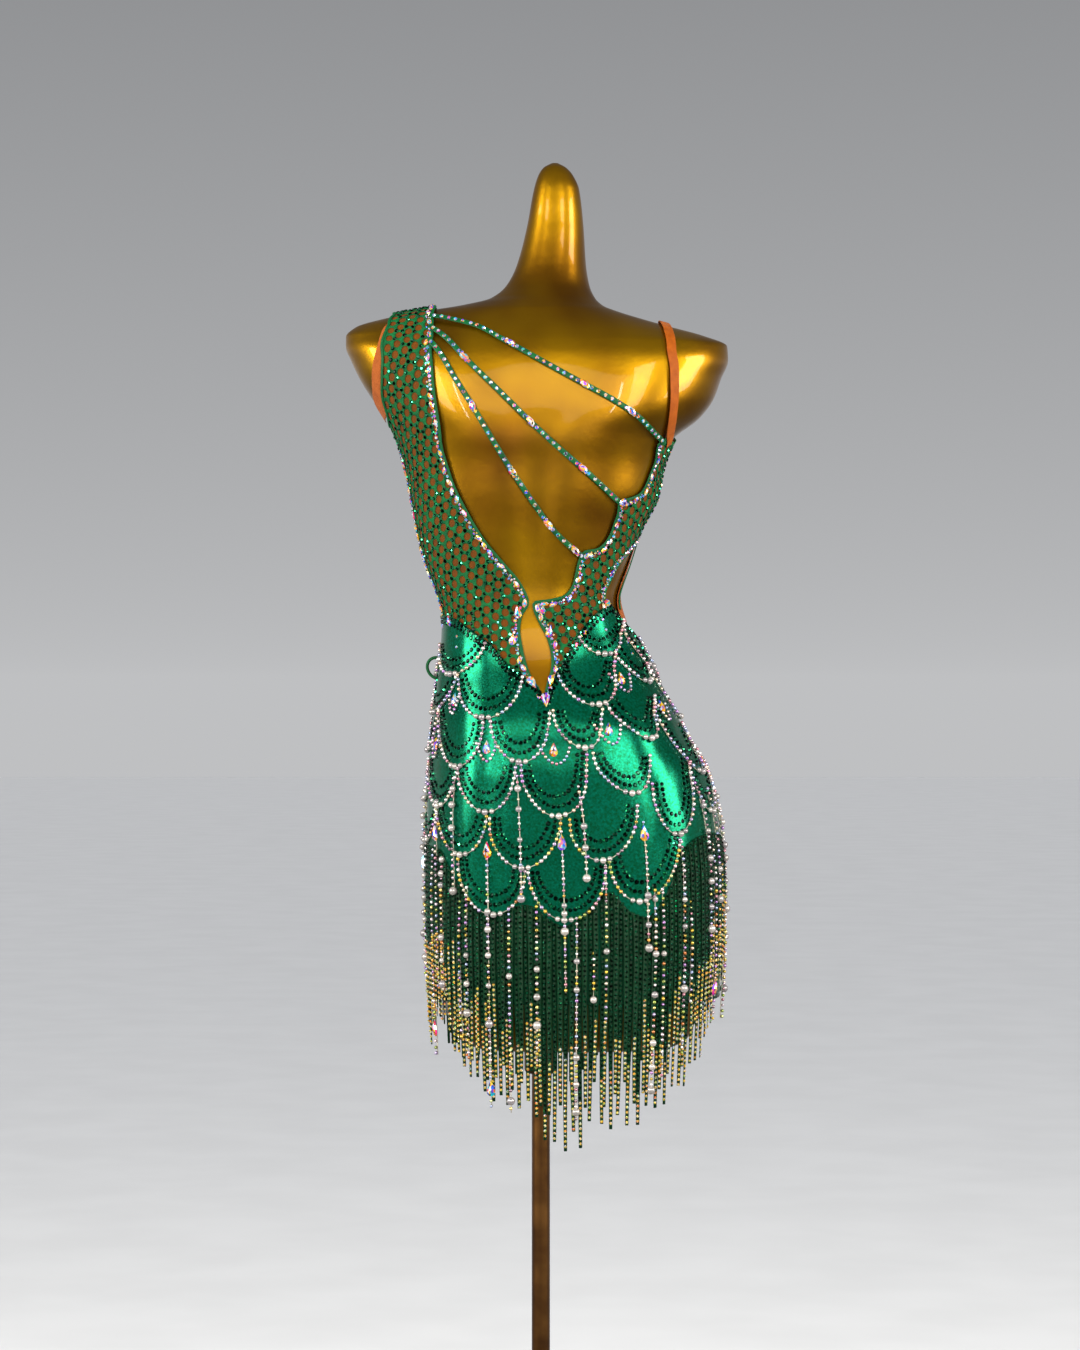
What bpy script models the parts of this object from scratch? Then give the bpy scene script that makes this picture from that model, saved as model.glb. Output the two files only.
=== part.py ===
"""A beaded salsa dance dress on a limbless dress form with a pole and a round base.

The dress is a one-shoulder bodice of net panels with an open, strapped back, and a close
skirt with rows of bead garlands, a stoned fringe and hanging bead strings.  Every panel of
cloth is a thin wall worked out from the surface of the form.  Sizes in the tables are in
millimetres: the back faces +Y, the wearer's left is +X, and the floor is at height 0.
An angle runs round the body from 0 at the left side over 90 at the back to 180 at the right.
"""
import math
from collections import namedtuple
from functools import lru_cache

import bmesh
import bpy
from mathutils import Vector

MM = 0.001

# ---------------------------------------------------------------- the stand
BASE_RADIUS = 170.0
BASE_THICKNESS = 6.0
BASE_EDGE = 1.8
BASE_SEGMENTS = 36
FLANGE_RADIUS = 34.0
FLANGE_HEIGHT = 16.0
FLANGE_RIM = 4.0
FLANGE_NECK = 4.0
FLANGE_SLOPE = (0.6, 9.0)
POLE_RADIUS = 10.4
POLE_CENTRE = (-1.0, 0.0)
POLE_SEGMENTS = 24
SOCKET_RADIUS = 19.0
SOCKET_HEIGHT = 26.0
SOCKET_BEVEL = 3.0
FIT_GAP = 0.3

# ---------------------------------------------------------------- the dress form
FORM_COLUMNS = 40
FORM_ROW_STEPS = ((1399, 1388, 1), (1388, 1028, 20), (1028, 610, 9))
Section = namedtuple("Section", "height left right back front spine square")
FORM_SECTIONS = [Section(*row) for row in (
    (1588, -13, -21, 4, 4, -17, 2.0),
    (1583, -4, -30, 13, 13, -17, 2.0),
    (1574, 2, -38, 19, 19, -17, 2.0),
    (1558, 7, -45, 24, 24, -17, 2.0),
    (1515, 15, -50, 30, 29, -17, 2.0),
    (1470, 27, -53, 38, 36, -14, 2.0),
    (1447, 39, -57, 46, 42, -12, 1.9),
    (1432, 58, -64, 55, 47, -11, 1.95),
    (1423, 95, -74, 62, 49, -10, 2.0),
    (1416, 140, -92, 68, 52, -9, 2.0),
    (1408, 182, -118, 73, 55, -8, 2.05),
    (1399, 212, -150, 79, 59, -8, 2.1),
    (1388, 223, -190, 86, 64, -6, 2.2),
    (1377, 223, -215, 92, 69, -5, 2.35),
    (1361, 217, -216, 98, 75, -4, 2.5),
    (1340, 207, -208, 102, 81, -2, 2.55),
    (1316, 192, -199, 105, 88, 0, 2.5),
    (1295, 176, -183, 107, 93, 1, 2.5),
    (1270, 162, -152, 108, 98, 3, 2.4),
    (1240, 153, -140, 105, 101, 4, 2.3),
    (1205, 146, -133, 101, 100, 4, 2.25),
    (1167, 139, -114, 94, 95, 5, 2.2),
    (1125, 128, -99, 85, 88, 6, 2.2),
    (1090, 114, -90, 79, 85, 5, 2.2),
    (1060, 108, -97, 78, 86, 3, 2.2),
    (1029, 109, -114, 81, 90, 0, 2.2),
    (980, 115, -138, 92, 96, -7, 2.2),
    (925, 120, -166, 103, 100, -17, 2.2),
    (880, 122, -188, 104, 100, -26, 2.25),
    (830, 122, -197, 98, 94, -32, 2.3),
    (780, 119, -195, 92, 90, -35, 2.3),
    (720, 116, -192, 88, 87, -36, 2.3),
    (660, 112, -187, 86, 84, -37, 2.3),
    (610, 106, -180, 83, 81, -37, 2.35),
    (586, 96, -171, 76, 74, -37, 2.4),
    (573, 74, -150, 58, 56, -37, 2.4),
    (569, 34, -104, 28, 28, -36, 2.3),
)]

# Soft swellings of the form: bust, shoulder blades, seat, and the hollow of the back.
# The cups of the dress stand out a little further than the form under them, by the ease.
Swelling = namedtuple("Swelling", "angle height spread rise amount ease")
SWELLINGS = [Swelling(*row) for row in (
    (90, 1205, 9, 105, -7.0, 0.0),
    (61, 1310, 17, 48, 5.0, 0.0),
    (119, 1310, 17, 48, 5.0, 0.0),
    (60, 925, 27, 62, 13.0, 0.0),
    (121, 925, 27, 62, 15.0, 0.0),
    (-57, 1262, 25, 48, 16.0, 3.5),
    (-123, 1262, 25, 48, 16.0, 3.5),
)]

# ---------------------------------------------------------------- how the skirt hangs
HANG_FROM = 925.0
HANG_SECTIONS = [Section(*row) for row in (
    (925, 120, -166, 103, 100, -17, 2.2),
    (880, 124, -190, 108, 101, -26, 2.25),
    (830, 125, -200, 108, 99, -32, 2.3),
    (770, 124, -204, 107, 97, -35, 2.3),
    (700, 123, -204, 105, 95, -36, 2.3),
    (630, 121, -201, 102, 93, -36, 2.3),
    (560, 118, -197, 99, 91, -36, 2.3),
    (440, 113, -190, 95, 88, -36, 2.3),
)]

# ---------------------------------------------------------------- layers, outward from the form
CLOTH_IN = 1.8
CLOTH_WALL = 1.2
CHEST_EASE = 0.9
CHEST_EASE_FROM = 1225.0
CHEST_EASE_RISE = 40.0
LAPPED_IN = 3.7
STRAP_DROP = 0.8
STRAP_FREE = 2.2
NUDE_LIFT_OVER = {0: 0.3, 1: 0.1, 2: -1.0}
NUDE_DROP = 2.0
STRAP_WALL = 1.6
TRIM_IN = 5.7
FREE_HANG = 1.4
TRIM_GAP = 0.7
SEAM_LAP = 6.0

# ---------------------------------------------------------------- the skirt
SKIRT_COLUMNS = 50
SKIRT_ROWS = 11
SKIRT_TURN = 4.0
SKIRT_CROWDING = 1.35
SKIRT_HEM = 632.0
Rim = namedtuple("Rim", "angle height")
Stop = namedtuple("Stop", "x height")
RIM_FRONT = [Rim(*row) for row in (
    (-92, 1012), (-60, 1022), (-30, 1050), (0, 1070), (172, 1049), (180, 1046), (210, 1036),
    (240, 1020), (268, 1012),
)]
RIM_BACK = [Stop(*row) for row in (
    (95, 1065), (75, 1050), (53, 1033), (35, 1010), (18, 998), (6, 990), (-6, 974),
    (-14, 994), (-24, 1010), (-35, 1032), (-46, 1051), (-58, 1066), (-69, 1076), (-75, 1081),
    (-84, 1070), (-95, 1056),
)]

# ---------------------------------------------------------------- panels of the bodice
SIDE = 400.0
Rib = namedtuple("Rib", "outer_x outer_height inner_x inner_height")
BACK_LEFT_RIBS = [Rib(*row) for row in (
    (172, 1390, 121, 1398),
    (176, 1363, 122, 1373),
    (176, 1340, 121, 1348),
    (176, 1318, 118, 1318),
    (170, 1296, 113, 1289),
    (SIDE, 1274, 108, 1253),
    (SIDE, 1240, 99, 1222),
    (SIDE, 1204, 80, 1181),
    (SIDE, 1165, 64, 1154),
    (SIDE, 1135, 44, 1129),
    (SIDE, 1110, 23, 1103),
    (SIDE, 1095, 14, 1082),
    (SIDE, 1086, 22, 1066),
    (SIDE, 1080, 24, 1050),
    (SIDE, 1075, 21, 1031),
    (SIDE, 1070, 14, 1006),
    (SIDE, 1066, 3, 988),
    (SIDE, 1062, -4, 975),
)]
BACK_RIGHT_RIBS = [Rib(*row) for row in (
    (-SIDE, 1268, -139, 1269),
    (-SIDE, 1252, -131, 1262),
    (-SIDE, 1236, -128, 1243),
    (-SIDE, 1216, -122, 1226),
    (-SIDE, 1196, -112, 1206),
    (-SIDE, 1180, -98, 1199),
    (-SIDE, 1168, -88, 1196),
    (-SIDE, 1159, -85, 1178),
    (-107.5, 1152, -80, 1164),
    (-104, 1147, -74, 1152),
    (-98, 1140, -63, 1142),
    (-90, 1131, -49, 1139),
    (-83, 1120, -43, 1127),
    (-77, 1107, -38, 1104),
    (-72, 1097, -28, 1089),
    (-71, 1089, -12, 1084),
    (-73, 1071, 7, 1081),
    (-66, 1063, 5, 1071),
    (-60, 1058, -2, 1056),
    (-50, 1043, -10, 1040),
    (-40, 1025, -14, 1024),
    (-31, 1006, -14, 1006),
    (-21, 990, -10, 992),
    (-12, 975, -7, 980),
)]
FRONT_RIBS = [Rib(*row) for row in (
    (172, 1392, 118, 1398),
    (170, 1368, 112, 1368),
    (168, 1342, 98, 1342),
    (163, 1316, 72, 1320),
    (157, 1301, 50, 1309),
    (154, 1288, 28, 1302),
    (155, 1279, 10, 1297),
    (158, 1272, -8, 1294),
    (SIDE, 1262, -30, 1291),
    (SIDE, 1240, -68, 1290),
    (SIDE, 1209, -114, 1290),
    (SIDE, 1194, -131, 1290),
    (SIDE, 1185, -140, 1287),
    (SIDE, 1178, -148, 1282),
    (SIDE, 1172, -153, 1276),
    (SIDE, 1168, -SIDE, 1271),
    (SIDE, 1162, -SIDE, 1262),
    (SIDE, 1151, -SIDE, 1243),
    (SIDE, 1137, -SIDE, 1213),
    (SIDE, 1122, -SIDE, 1181),
    (SIDE, 1107, -SIDE, 1148),
    (SIDE, 1094, -SIDE, 1118),
    (SIDE, 1083, -SIDE, 1092),
    (SIDE, 1072, -SIDE, 1068),
    (SIDE, 1062, -SIDE, 1045),
)]
SHOULDER_STATIONS = 4
SHOULDER_SEAM = 0.8
STRAP_OUTER_X = 166.0
STRAP_INNER_X = 120.0
PANEL_COLUMNS = 8
FRONT_COLUMNS = 20
SIDE_SEAM_LEFT = 3.0
SIDE_SEAM_RIGHT = 187.0
SIDE_SEAM_TURN = 0.6
CUTOUT_EDGE = 190.0
HEM_REACH = 5.0

ARMHOLE_RIBS = [Rib(*row) for row in (
    (173, 1394, 170.5, 1398),
    (181, 1376, 174, 1386),
    (187, 1352, 177, 1363),
    (188, 1330, 177, 1340),
    (184, 1308, 177, 1318),
    (176, 1292, 171.5, 1296),
)]

Edge = namedtuple("Edge", "height back_angle")
WAIST_INSERT_EDGES = [Edge(*row) for row in (
    (1150, 184), (1136, 178), (1120, 173), (1104, 169), (1088, 163), (1074, 160), (1060, 162),
)]
BINDING_WIDTH = 4.0
BINDING_INSET = 1.5
INSERT_TURN = 1.6

# ---------------------------------------------------------------- straps
STRAP_WIDTH = 6.0
STRAP_STEPS = 14
NUDE_WIDTH = 11.5
THIN_STRAPS = {
    "back_strap_upper": [Stop(*row) for row in (
        (124, 1403), (100, 1399), (70, 1391), (40, 1375), (0, 1353), (-45, 1328), (-85, 1306),
        (-110, 1290), (-127, 1275), (-137, 1264))],
    "back_strap_middle": [Stop(*row) for row in (
        (124, 1391), (106, 1378), (80, 1351), (50, 1322), (10, 1283), (-30, 1247), (-62, 1219),
        (-84, 1199), (-93, 1192))],
    "back_strap_lower": [Stop(*row) for row in (
        (125, 1376), (112, 1361), (96, 1334), (76, 1302), (52, 1262), (30, 1226), (5, 1190),
        (-20, 1158), (-37, 1142), (-50, 1131))],
}
NUDE_STRAP_X = -142.0
NUDE_OVER_STEPS = 5
NUDE_OVER_TURN = 9.0
NUDE_BACK = [Stop(*row) for row in (
    (-142, 1263), (-145, 1275), (-148, 1292), (-150, 1318), (-150, 1342), (-147, 1366))]
NUDE_FRONT = [Stop(*row) for row in (
    (-144, 1366), (-143, 1342), (-140, 1318), (-137, 1301), (-134, 1290), (-133, 1281))]

# ---------------------------------------------------------------- hip loop
LOOP_HEIGHT = 1007.0
LOOP_ANGLE = -4.0
LOOP_RADIUS = 12.0
LOOP_CORD = 1.8
LOOP_STEPS = 12
LOOP_SIDES = 6

# ---------------------------------------------------------------- bead garlands on the skirt
GARLAND_IN = 5.8
GARLAND_HEIGHT = 3.0
GARLAND_WIDTH = 4.6
GARLAND_TAPER = 0.6
GARLAND_STEPS = 5
Knot = namedtuple("Knot", "angle height drop")
GARLANDS = {
    "garland_1": [Knot(*row) for row in (
        (-90, 988, 24), (-58, 994, 24), (-28, 1010, 12), (8, 1016, 22), (61, 1030, 0))],
    "garland_2": [Knot(*row) for row in (
        (111, 1040, 21), (147, 1044, 24), (178, 1018, 24), (210, 1004, 24), (240, 993, 24),
        (267, 988, 0))],
    "garland_3": [Knot(*row) for row in (
        (-90, 943, 28), (-64, 946, 28), (-36, 958, 28), (-6, 980, 26), (41, 990, 42),
        (81, 994, 0))],
    "garland_4": [Knot(*row) for row in (
        (95, 994, 33), (127, 1012, 22), (159, 998, 38), (193, 972, 28), (220, 956, 28),
        (245, 946, 28), (267, 943, 0))],
    "garland_5": [Knot(*row) for row in (
        (-90, 894, 26), (-62, 898, 26), (-34, 912, 28), (-6, 936, 28), (24, 950, 45),
        (61, 935, 33), (90, 937, 26), (111, 952, 19), (138, 953, 48), (170, 922, 30),
        (203, 904, 26), (235, 896, 26), (266, 893, 0))],
    "garland_6": [Knot(*row) for row in (
        (-90, 846, 26), (-62, 850, 26), (-34, 864, 28), (-10, 886, 28), (12, 884, 28),
        (46, 881, 33), (74, 879, 38), (98, 892, 22), (121, 888, 62), (143, 886, 38),
        (170, 872, 30), (203, 856, 26), (235, 848, 26), (266, 845, 0))],
    "garland_7": [Knot(*row) for row in (
        (-90, 800, 24), (-62, 804, 24), (-34, 816, 24), (-8, 838, 24), (28, 835, 30),
        (61, 824, 37), (88, 823, 32), (112, 833, 0))],
    "garland_8": [Knot(*row) for row in (
        (46, 774, 33), (75, 764, 37), (101, 786, 50), (129, 816, 0))],
    "garland_9": [Knot(*row) for row in (
        (190, 818, 18), (214, 806, 20), (240, 801, 20), (266, 799, 0))],
}

# ---------------------------------------------------------------- the fringe
Fall = namedtuple("Fall", "angle root tip")
FRINGE_FALLS = [Fall(*row) for row in (
    (-90, 764, 520), (-62, 766, 535), (-34, 778, 560), (-8, 798, 640), (12, 800, 575),
    (30, 796, 610), (44, 762, 565), (62, 724, 520), (75, 738, 508), (88, 714, 456),
    (95, 735, 482), (101, 752, 489), (108, 730, 492), (114, 724, 500), (121, 745, 515),
    (131, 800, 536), (142, 812, 566), (154, 815, 612), (168, 812, 660), (186, 782, 640),
    (212, 766, 590), (242, 764, 545), (270, 764, 520),
)]
STRIP_COUNT = 90
STRIP_WALL = 1.5
BACKING_HEIGHT = 5.0
STRIP_STEPS = 2
STRING_COUNT = 42
STRING_WALL = 3.4
STRING_SHARE = 0.30
STRING_STEPS = 2
STRIP_SHARE = 0.62
STRIP_LENGTHS = (1.0, 0.94, 1.0, 0.9)
STRING_LENGTHS = (1.0, 0.5, 0.86, 0.62, 0.96, 0.4, 0.8)

# ---------------------------------------------------------------- finishes
Finish = namedtuple("Finish", "colour metallic roughness")
FINISHES = {
    "gold": Finish((0.62, 0.42, 0.14), 0.9, 0.22),
    "bronze": Finish((0.36, 0.25, 0.12), 0.9, 0.3),
    "net": Finish((0.02, 0.22, 0.13), 0.0, 0.55),
    "foil": Finish((0.01, 0.30, 0.17), 0.3, 0.32),
    "nude": Finish((0.55, 0.36, 0.22), 0.0, 0.7),
    "binding": Finish((0.01, 0.10, 0.06), 0.0, 0.5),
    "stones": Finish((0.45, 0.62, 0.52), 0.4, 0.15),
    "beads": Finish((0.75, 0.78, 0.70), 0.2, 0.2),
}


# ---------------------------------------------------------------- curves through tables
def slope_at(keys, values, index):
    """Return a slope that keeps a smooth curve from overshooting its points."""
    last = len(keys) - 1
    low = max(index - 1, 0)
    high = min(index + 1, last)
    before = (values[index] - values[low]) / (keys[index] - keys[low]) if index else 0.0
    after = (values[high] - values[index]) / (keys[high] - keys[index]) if index < last else 0.0
    if index in (0, last):
        return before + after
    return 2.0 * before * after / (before + after) if before * after > 0.0 else 0.0


def curve_value(keys, values, key):
    """Read a smooth curve, given by rising keys and their values, at one key."""
    if key <= keys[0]:
        return values[0]
    if key >= keys[-1]:
        return values[-1]
    index = next(i for i in range(len(keys) - 1) if keys[i + 1] >= key)
    span = keys[index + 1] - keys[index]
    share = (key - keys[index]) / span
    start_slope = slope_at(keys, values, index) * span
    end_slope = slope_at(keys, values, index + 1) * span
    return ((2 * share ** 3 - 3 * share ** 2 + 1) * values[index]
            + (share ** 3 - 2 * share ** 2 + share) * start_slope
            + (3 * share ** 2 - 2 * share ** 3) * values[index + 1]
            + (share ** 3 - share ** 2) * end_slope)


def read_table(rows, key_name, value_name, key):
    """Read one column of a table of named rows as a smooth curve over another column."""
    ordered = sorted(rows, key=lambda row: getattr(row, key_name))
    keys = [getattr(row, key_name) for row in ordered]
    values = [getattr(row, value_name) for row in ordered]
    return curve_value(keys, values, key)


def section_at(rows, height):
    """Return the section of a table at any height."""
    columns = [read_table(rows, "height", name, height) for name in Section._fields[1:]]
    return Section(height, *columns)


# ---------------------------------------------------------------- the surface of the body
def swelling_at(angle, height, bare):
    """Return how far the soft swellings move the surface of the dress or bare form outward."""
    total = 0.0
    for swelling in SWELLINGS:
        turn = (angle - swelling.angle + 180.0) % 360.0 - 180.0
        reach = (turn / swelling.spread) ** 2 + ((height - swelling.height) / swelling.rise) ** 2
        amount = swelling.amount - swelling.ease if bare else swelling.amount
        total += amount * math.exp(-reach)
    return total


def body_point(angle, height, hanging=False, bare=False):
    """Return a point of the form, or of the cloth that hangs straight below the seat."""
    hangs = hanging and height < HANG_FROM
    shape = section_at(HANG_SECTIONS if hangs else FORM_SECTIONS, height)
    turn = math.radians(angle)
    across = math.copysign(abs(math.cos(turn)) ** (2.0 / shape.square), math.cos(turn))
    along = math.copysign(abs(math.sin(turn)) ** (2.0 / shape.square), math.sin(turn))
    half = shape.left - shape.spine if across > 0.0 else shape.spine - shape.right
    depth = shape.back if along > 0.0 else shape.front
    swell = swelling_at(angle, HANG_FROM if hangs else height, bare)
    return Vector((shape.spine + half * across + swell * math.cos(turn),
                   depth * along + swell * math.sin(turn), height))


def body_normal(angle, height, hanging=False):
    """Return the outward direction of that surface."""
    turn, rise = 1.5, 2.0
    around = body_point(angle + turn, height, hanging) - body_point(angle - turn, height, hanging)
    up = body_point(angle, height + rise, hanging) - body_point(angle, height - rise, hanging)
    return around.cross(up).normalized()


def off_body(angle, height, out, hanging=False):
    """Return the point at a distance outside the surface."""
    return body_point(angle, height, hanging) + out * body_normal(angle, height, hanging)


def angle_for(x, height, front=False):
    """Return the angle at which the surface has the given x, on the back or the front."""
    low, high = (0.0, 180.0)
    sign = -1.0 if front else 1.0
    for _ in range(30):
        middle = (low + high) / 2.0
        if body_point(sign * middle, height).x > x:
            low = middle
        else:
            high = middle
    return sign * (low + high) / 2.0


def height_for(x, angle):
    """Return the height on a shoulder at which the surface has the given x at an angle."""
    low, high = 1376.0, 1432.0
    for _ in range(30):
        middle = (low + high) / 2.0
        if abs(body_point(angle, middle).x) > abs(x):
            low = middle
        else:
            high = middle
    return (low + high) / 2.0


# ---------------------------------------------------------------- meshes
def add_object(name, vertices, faces, finish):
    """Make one named object from vertices in millimetres and faces."""
    mesh = bpy.data.meshes.new(name)
    mesh.from_pydata([tuple(MM * value for value in vertex) for vertex in vertices], [], faces)
    work = bmesh.new()
    work.from_mesh(mesh)
    bmesh.ops.recalc_face_normals(work, faces=work.faces)
    work.to_mesh(mesh)
    work.free()
    mesh.shade_smooth()
    mesh.set_sharp_from_angle(angle=math.radians(40.0))
    mesh.materials.append(make_material(finish))
    obj = bpy.data.objects.new(name, mesh)
    bpy.context.collection.objects.link(obj)
    return obj


def make_material(name):
    """Return the named finish, made once."""
    if name in bpy.data.materials:
        return bpy.data.materials[name]
    finish = FINISHES[name]
    material = bpy.data.materials.new(name)
    material.use_nodes = True
    shader = material.node_tree.nodes["Principled BSDF"]
    shader.inputs["Base Color"].default_value = (*finish.colour, 1.0)
    shader.inputs["Metallic"].default_value = finish.metallic
    shader.inputs["Roughness"].default_value = finish.roughness
    return material


def add_wall(name, inner, outer, finish, closed=False):
    """Make a wall between two grids of points with the same rows and columns."""
    rows, columns = len(inner), len(inner[0])
    vertices = [point for grid in (inner, outer) for row in grid for point in row]
    layer = rows * columns
    faces = []
    spans = columns if closed else columns - 1
    for row in range(rows - 1):
        for column in range(spans):
            beside = (column + 1) % columns
            start, ahead = row * columns + column, row * columns + beside
            below, across = (row + 1) * columns + column, (row + 1) * columns + beside
            rising = vertices[ahead] - vertices[below]
            falling = vertices[start] - vertices[across]
            halves = ((start, ahead, across), (start, across, below))
            if rising.length < falling.length:
                halves = ((start, ahead, below), (ahead, across, below))
            for corners in halves:
                faces.append(corners)
                faces.append([layer + index for index in reversed(corners)])
    for column in range(spans):
        beside = (column + 1) % columns
        for row in (0, rows - 1):
            start, end = row * columns + column, row * columns + beside
            faces.append([start, end, layer + end, layer + start])
    if not closed:
        for row in range(rows - 1):
            for column in (0, columns - 1):
                start, end = row * columns + column, (row + 1) * columns + column
                faces.append([start, end, layer + end, layer + start])
    return add_object(name, vertices, faces, finish)


def wall_on_body(name, places, lift, finish, wall=CLOTH_WALL, closed=False, hanging=False):
    """Make a wall of cloth whose points lie at (angle, height) places over the body."""
    inner = [[off_body(angle, height, lift + chest_ease(height), hanging)
              for angle, height in row] for row in places]
    outer = [[off_body(angle, height, lift + chest_ease(height) + wall, hanging)
              for angle, height in row] for row in places]
    return add_wall(name, inner, outer, finish, closed)


def chest_ease(height):
    """Return how much further the cloth stands off the body round the chest and arms."""
    return CHEST_EASE * min(max((height - CHEST_EASE_FROM) / CHEST_EASE_RISE, 0.0), 1.0)


def over_panel(height):
    """Return the lift of a strap that is sewn onto a panel of the bodice at a height."""
    return CLOTH_IN + chest_ease(height) + CLOTH_WALL + TRIM_GAP


def add_turned(name, profile, finish, segments=32):
    """Make a turned piece from (radius, height) points on the pole's axis."""
    vertices, faces = [], []
    for radius, height in profile:
        for step in range(segments):
            turn = 2.0 * math.pi * step / segments
            vertices.append((POLE_CENTRE[0] + radius * math.cos(turn),
                             POLE_CENTRE[1] + radius * math.sin(turn), height))
    for ring in range(len(profile) - 1):
        for step in range(segments):
            beside = (step + 1) % segments
            faces.append([ring * segments + step, ring * segments + beside,
                          (ring + 1) * segments + beside, (ring + 1) * segments + step])
    top = (len(profile) - 1) * segments
    faces.append(list(range(segments)))
    faces.append([top + step for step in range(segments)])
    return add_object(name, vertices, faces, finish)


# ---------------------------------------------------------------- the stand and the form
def build_stand():
    """Make the base plate, its flange, the pole and the socket under the form."""
    base_top = BASE_THICKNESS
    add_turned("base_plate", [
        (BASE_RADIUS - BASE_EDGE, 0.0), (BASE_RADIUS, BASE_EDGE),
        (BASE_RADIUS, base_top - BASE_EDGE), (BASE_RADIUS - BASE_EDGE, base_top)],
        "bronze", BASE_SEGMENTS)
    flange_base = base_top + FIT_GAP
    add_ring("base_flange", [
        (POLE_RADIUS + FIT_GAP, flange_base), (FLANGE_RADIUS, flange_base),
        (FLANGE_RADIUS, flange_base + FLANGE_RIM),
        (FLANGE_RADIUS * FLANGE_SLOPE[0], flange_base + FLANGE_SLOPE[1]),
        (POLE_RADIUS + FLANGE_NECK, flange_base + FLANGE_HEIGHT),
        (POLE_RADIUS + FIT_GAP, flange_base + FLANGE_HEIGHT)], "bronze")
    form_base = FORM_SECTIONS[-1].height
    add_turned("stand_pole", [(POLE_RADIUS, base_top + FIT_GAP),
                              (POLE_RADIUS, form_base - FIT_GAP)],
               "bronze", POLE_SEGMENTS)
    socket_top = form_base - FIT_GAP
    add_ring("form_socket", [
        (POLE_RADIUS + FIT_GAP, socket_top - SOCKET_HEIGHT),
        (SOCKET_RADIUS - SOCKET_BEVEL, socket_top - SOCKET_HEIGHT),
        (SOCKET_RADIUS, socket_top - SOCKET_HEIGHT + SOCKET_BEVEL),
        (SOCKET_RADIUS, socket_top), (POLE_RADIUS + FIT_GAP, socket_top)], "bronze")


def add_ring(name, profile, finish, segments=16):
    """Make a turned ring from the closed (radius, height) outline of its wall."""
    count = len(profile)
    vertices, faces = [], []
    for step in range(segments):
        turn = 2.0 * math.pi * step / segments
        for radius, height in profile:
            vertices.append((POLE_CENTRE[0] + radius * math.cos(turn),
                             POLE_CENTRE[1] + radius * math.sin(turn), height))
        for corner in range(count):
            beside = (corner + 1) % count
            ahead = ((step + 1) % segments) * count
            faces.append([step * count + corner, step * count + beside,
                          ahead + beside, ahead + corner])
    return add_object(name, vertices, faces, finish)


def build_form():
    """Loft the smooth limbless form through its sections, with flat closed ends."""
    vertices, faces = [], []
    heights = [row.height for row in FORM_SECTIONS if row.height > FORM_ROW_STEPS[0][0]]
    for top, bottom, count in FORM_ROW_STEPS:
        heights += [top + (bottom - top) * step / count for step in range(count)]
    heights += [row.height for row in FORM_SECTIONS if row.height <= FORM_ROW_STEPS[-1][1]]
    for height in heights:
        for column in range(FORM_COLUMNS):
            vertices.append(body_point(360.0 * column / FORM_COLUMNS, height, bare=True))
    for row in range(len(heights) - 1):
        for column in range(FORM_COLUMNS):
            beside = (column + 1) % FORM_COLUMNS
            faces.append([row * FORM_COLUMNS + column, row * FORM_COLUMNS + beside,
                          (row + 1) * FORM_COLUMNS + beside, (row + 1) * FORM_COLUMNS + column])
    last = (len(heights) - 1) * FORM_COLUMNS
    faces.append(list(range(FORM_COLUMNS)))
    faces.append([last + column for column in range(FORM_COLUMNS)])
    add_object("dress_form", vertices, faces, "gold")


# ---------------------------------------------------------------- the bodice
@lru_cache(maxsize=None)
def rim_rows():
    """Return the whole upper edge of the skirt as (angle, height) rows."""
    back = [Rim(angle_for(stop.x, stop.height), stop.height) for stop in RIM_BACK]
    return tuple(RIM_FRONT + back)


def rim_height(angle):
    """Return the height of the skirt's upper edge at an angle."""
    return read_table(rim_rows(), "angle", "height", (angle + 90.0) % 360.0 - 90.0)


def rib_ends(rib, front, left_seam, right_seam):
    """Return the two (angle, height) ends of a rib; a side end lies on its seam."""
    ends = []
    for x, height in ((rib.outer_x, rib.outer_height), (rib.inner_x, rib.inner_height)):
        if abs(x) == SIDE:
            angle = left_seam if x > 0.0 else right_seam
        else:
            angle = angle_for(x, height, front)
        ends.append((angle, height))
    return ends


def spread_ribs(ends, columns):
    """Fill each rib with evenly spread (angle, height) places."""
    places = []
    for (start_angle, start_height), (end_angle, end_height) in ends:
        shares = [column / (columns - 1) for column in range(columns)]
        places.append([(start_angle + (end_angle - start_angle) * share,
                        start_height + (end_height - start_height) * share)
                       for share in shares])
    return places


def shoulder_ribs(front):
    """Return the ribs of the strap from the shoulder's seam to the first rib of a panel."""
    sign = -1.0 if front else 1.0
    first = FRONT_RIBS[0] if front else BACK_LEFT_RIBS[0]
    goals = [angle_for(first.outer_x, first.outer_height), angle_for(first.inner_x, first.inner_height)]
    ribs = []
    for station in range(SHOULDER_STATIONS):
        share = station / SHOULDER_STATIONS
        ends = []
        for x, goal in zip((STRAP_OUTER_X, STRAP_INNER_X), goals):
            angle = sign * (SHOULDER_SEAM + (abs(goal) - SHOULDER_SEAM) * share)
            ends.append((angle, height_for(x, angle)))
        ribs.append(ends)
    return ribs


def settle_hem(places, reach):
    """Draw the lowest ribs onto the skirt's rim, so that the panel tucks under it."""
    count = len(places)
    changes = [rim_height(angle) - SEAM_LAP - height for angle, height in places[-1]]
    changes[-1] = min(changes[-1], 0.0)
    settled = []
    for index, row in enumerate(places):
        weight = max(0.0, 1.0 - (count - 1 - index) / reach)
        settled.append([(angle, height + weight * change)
                        for (angle, height), change in zip(row, changes)])
    return settled


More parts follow.
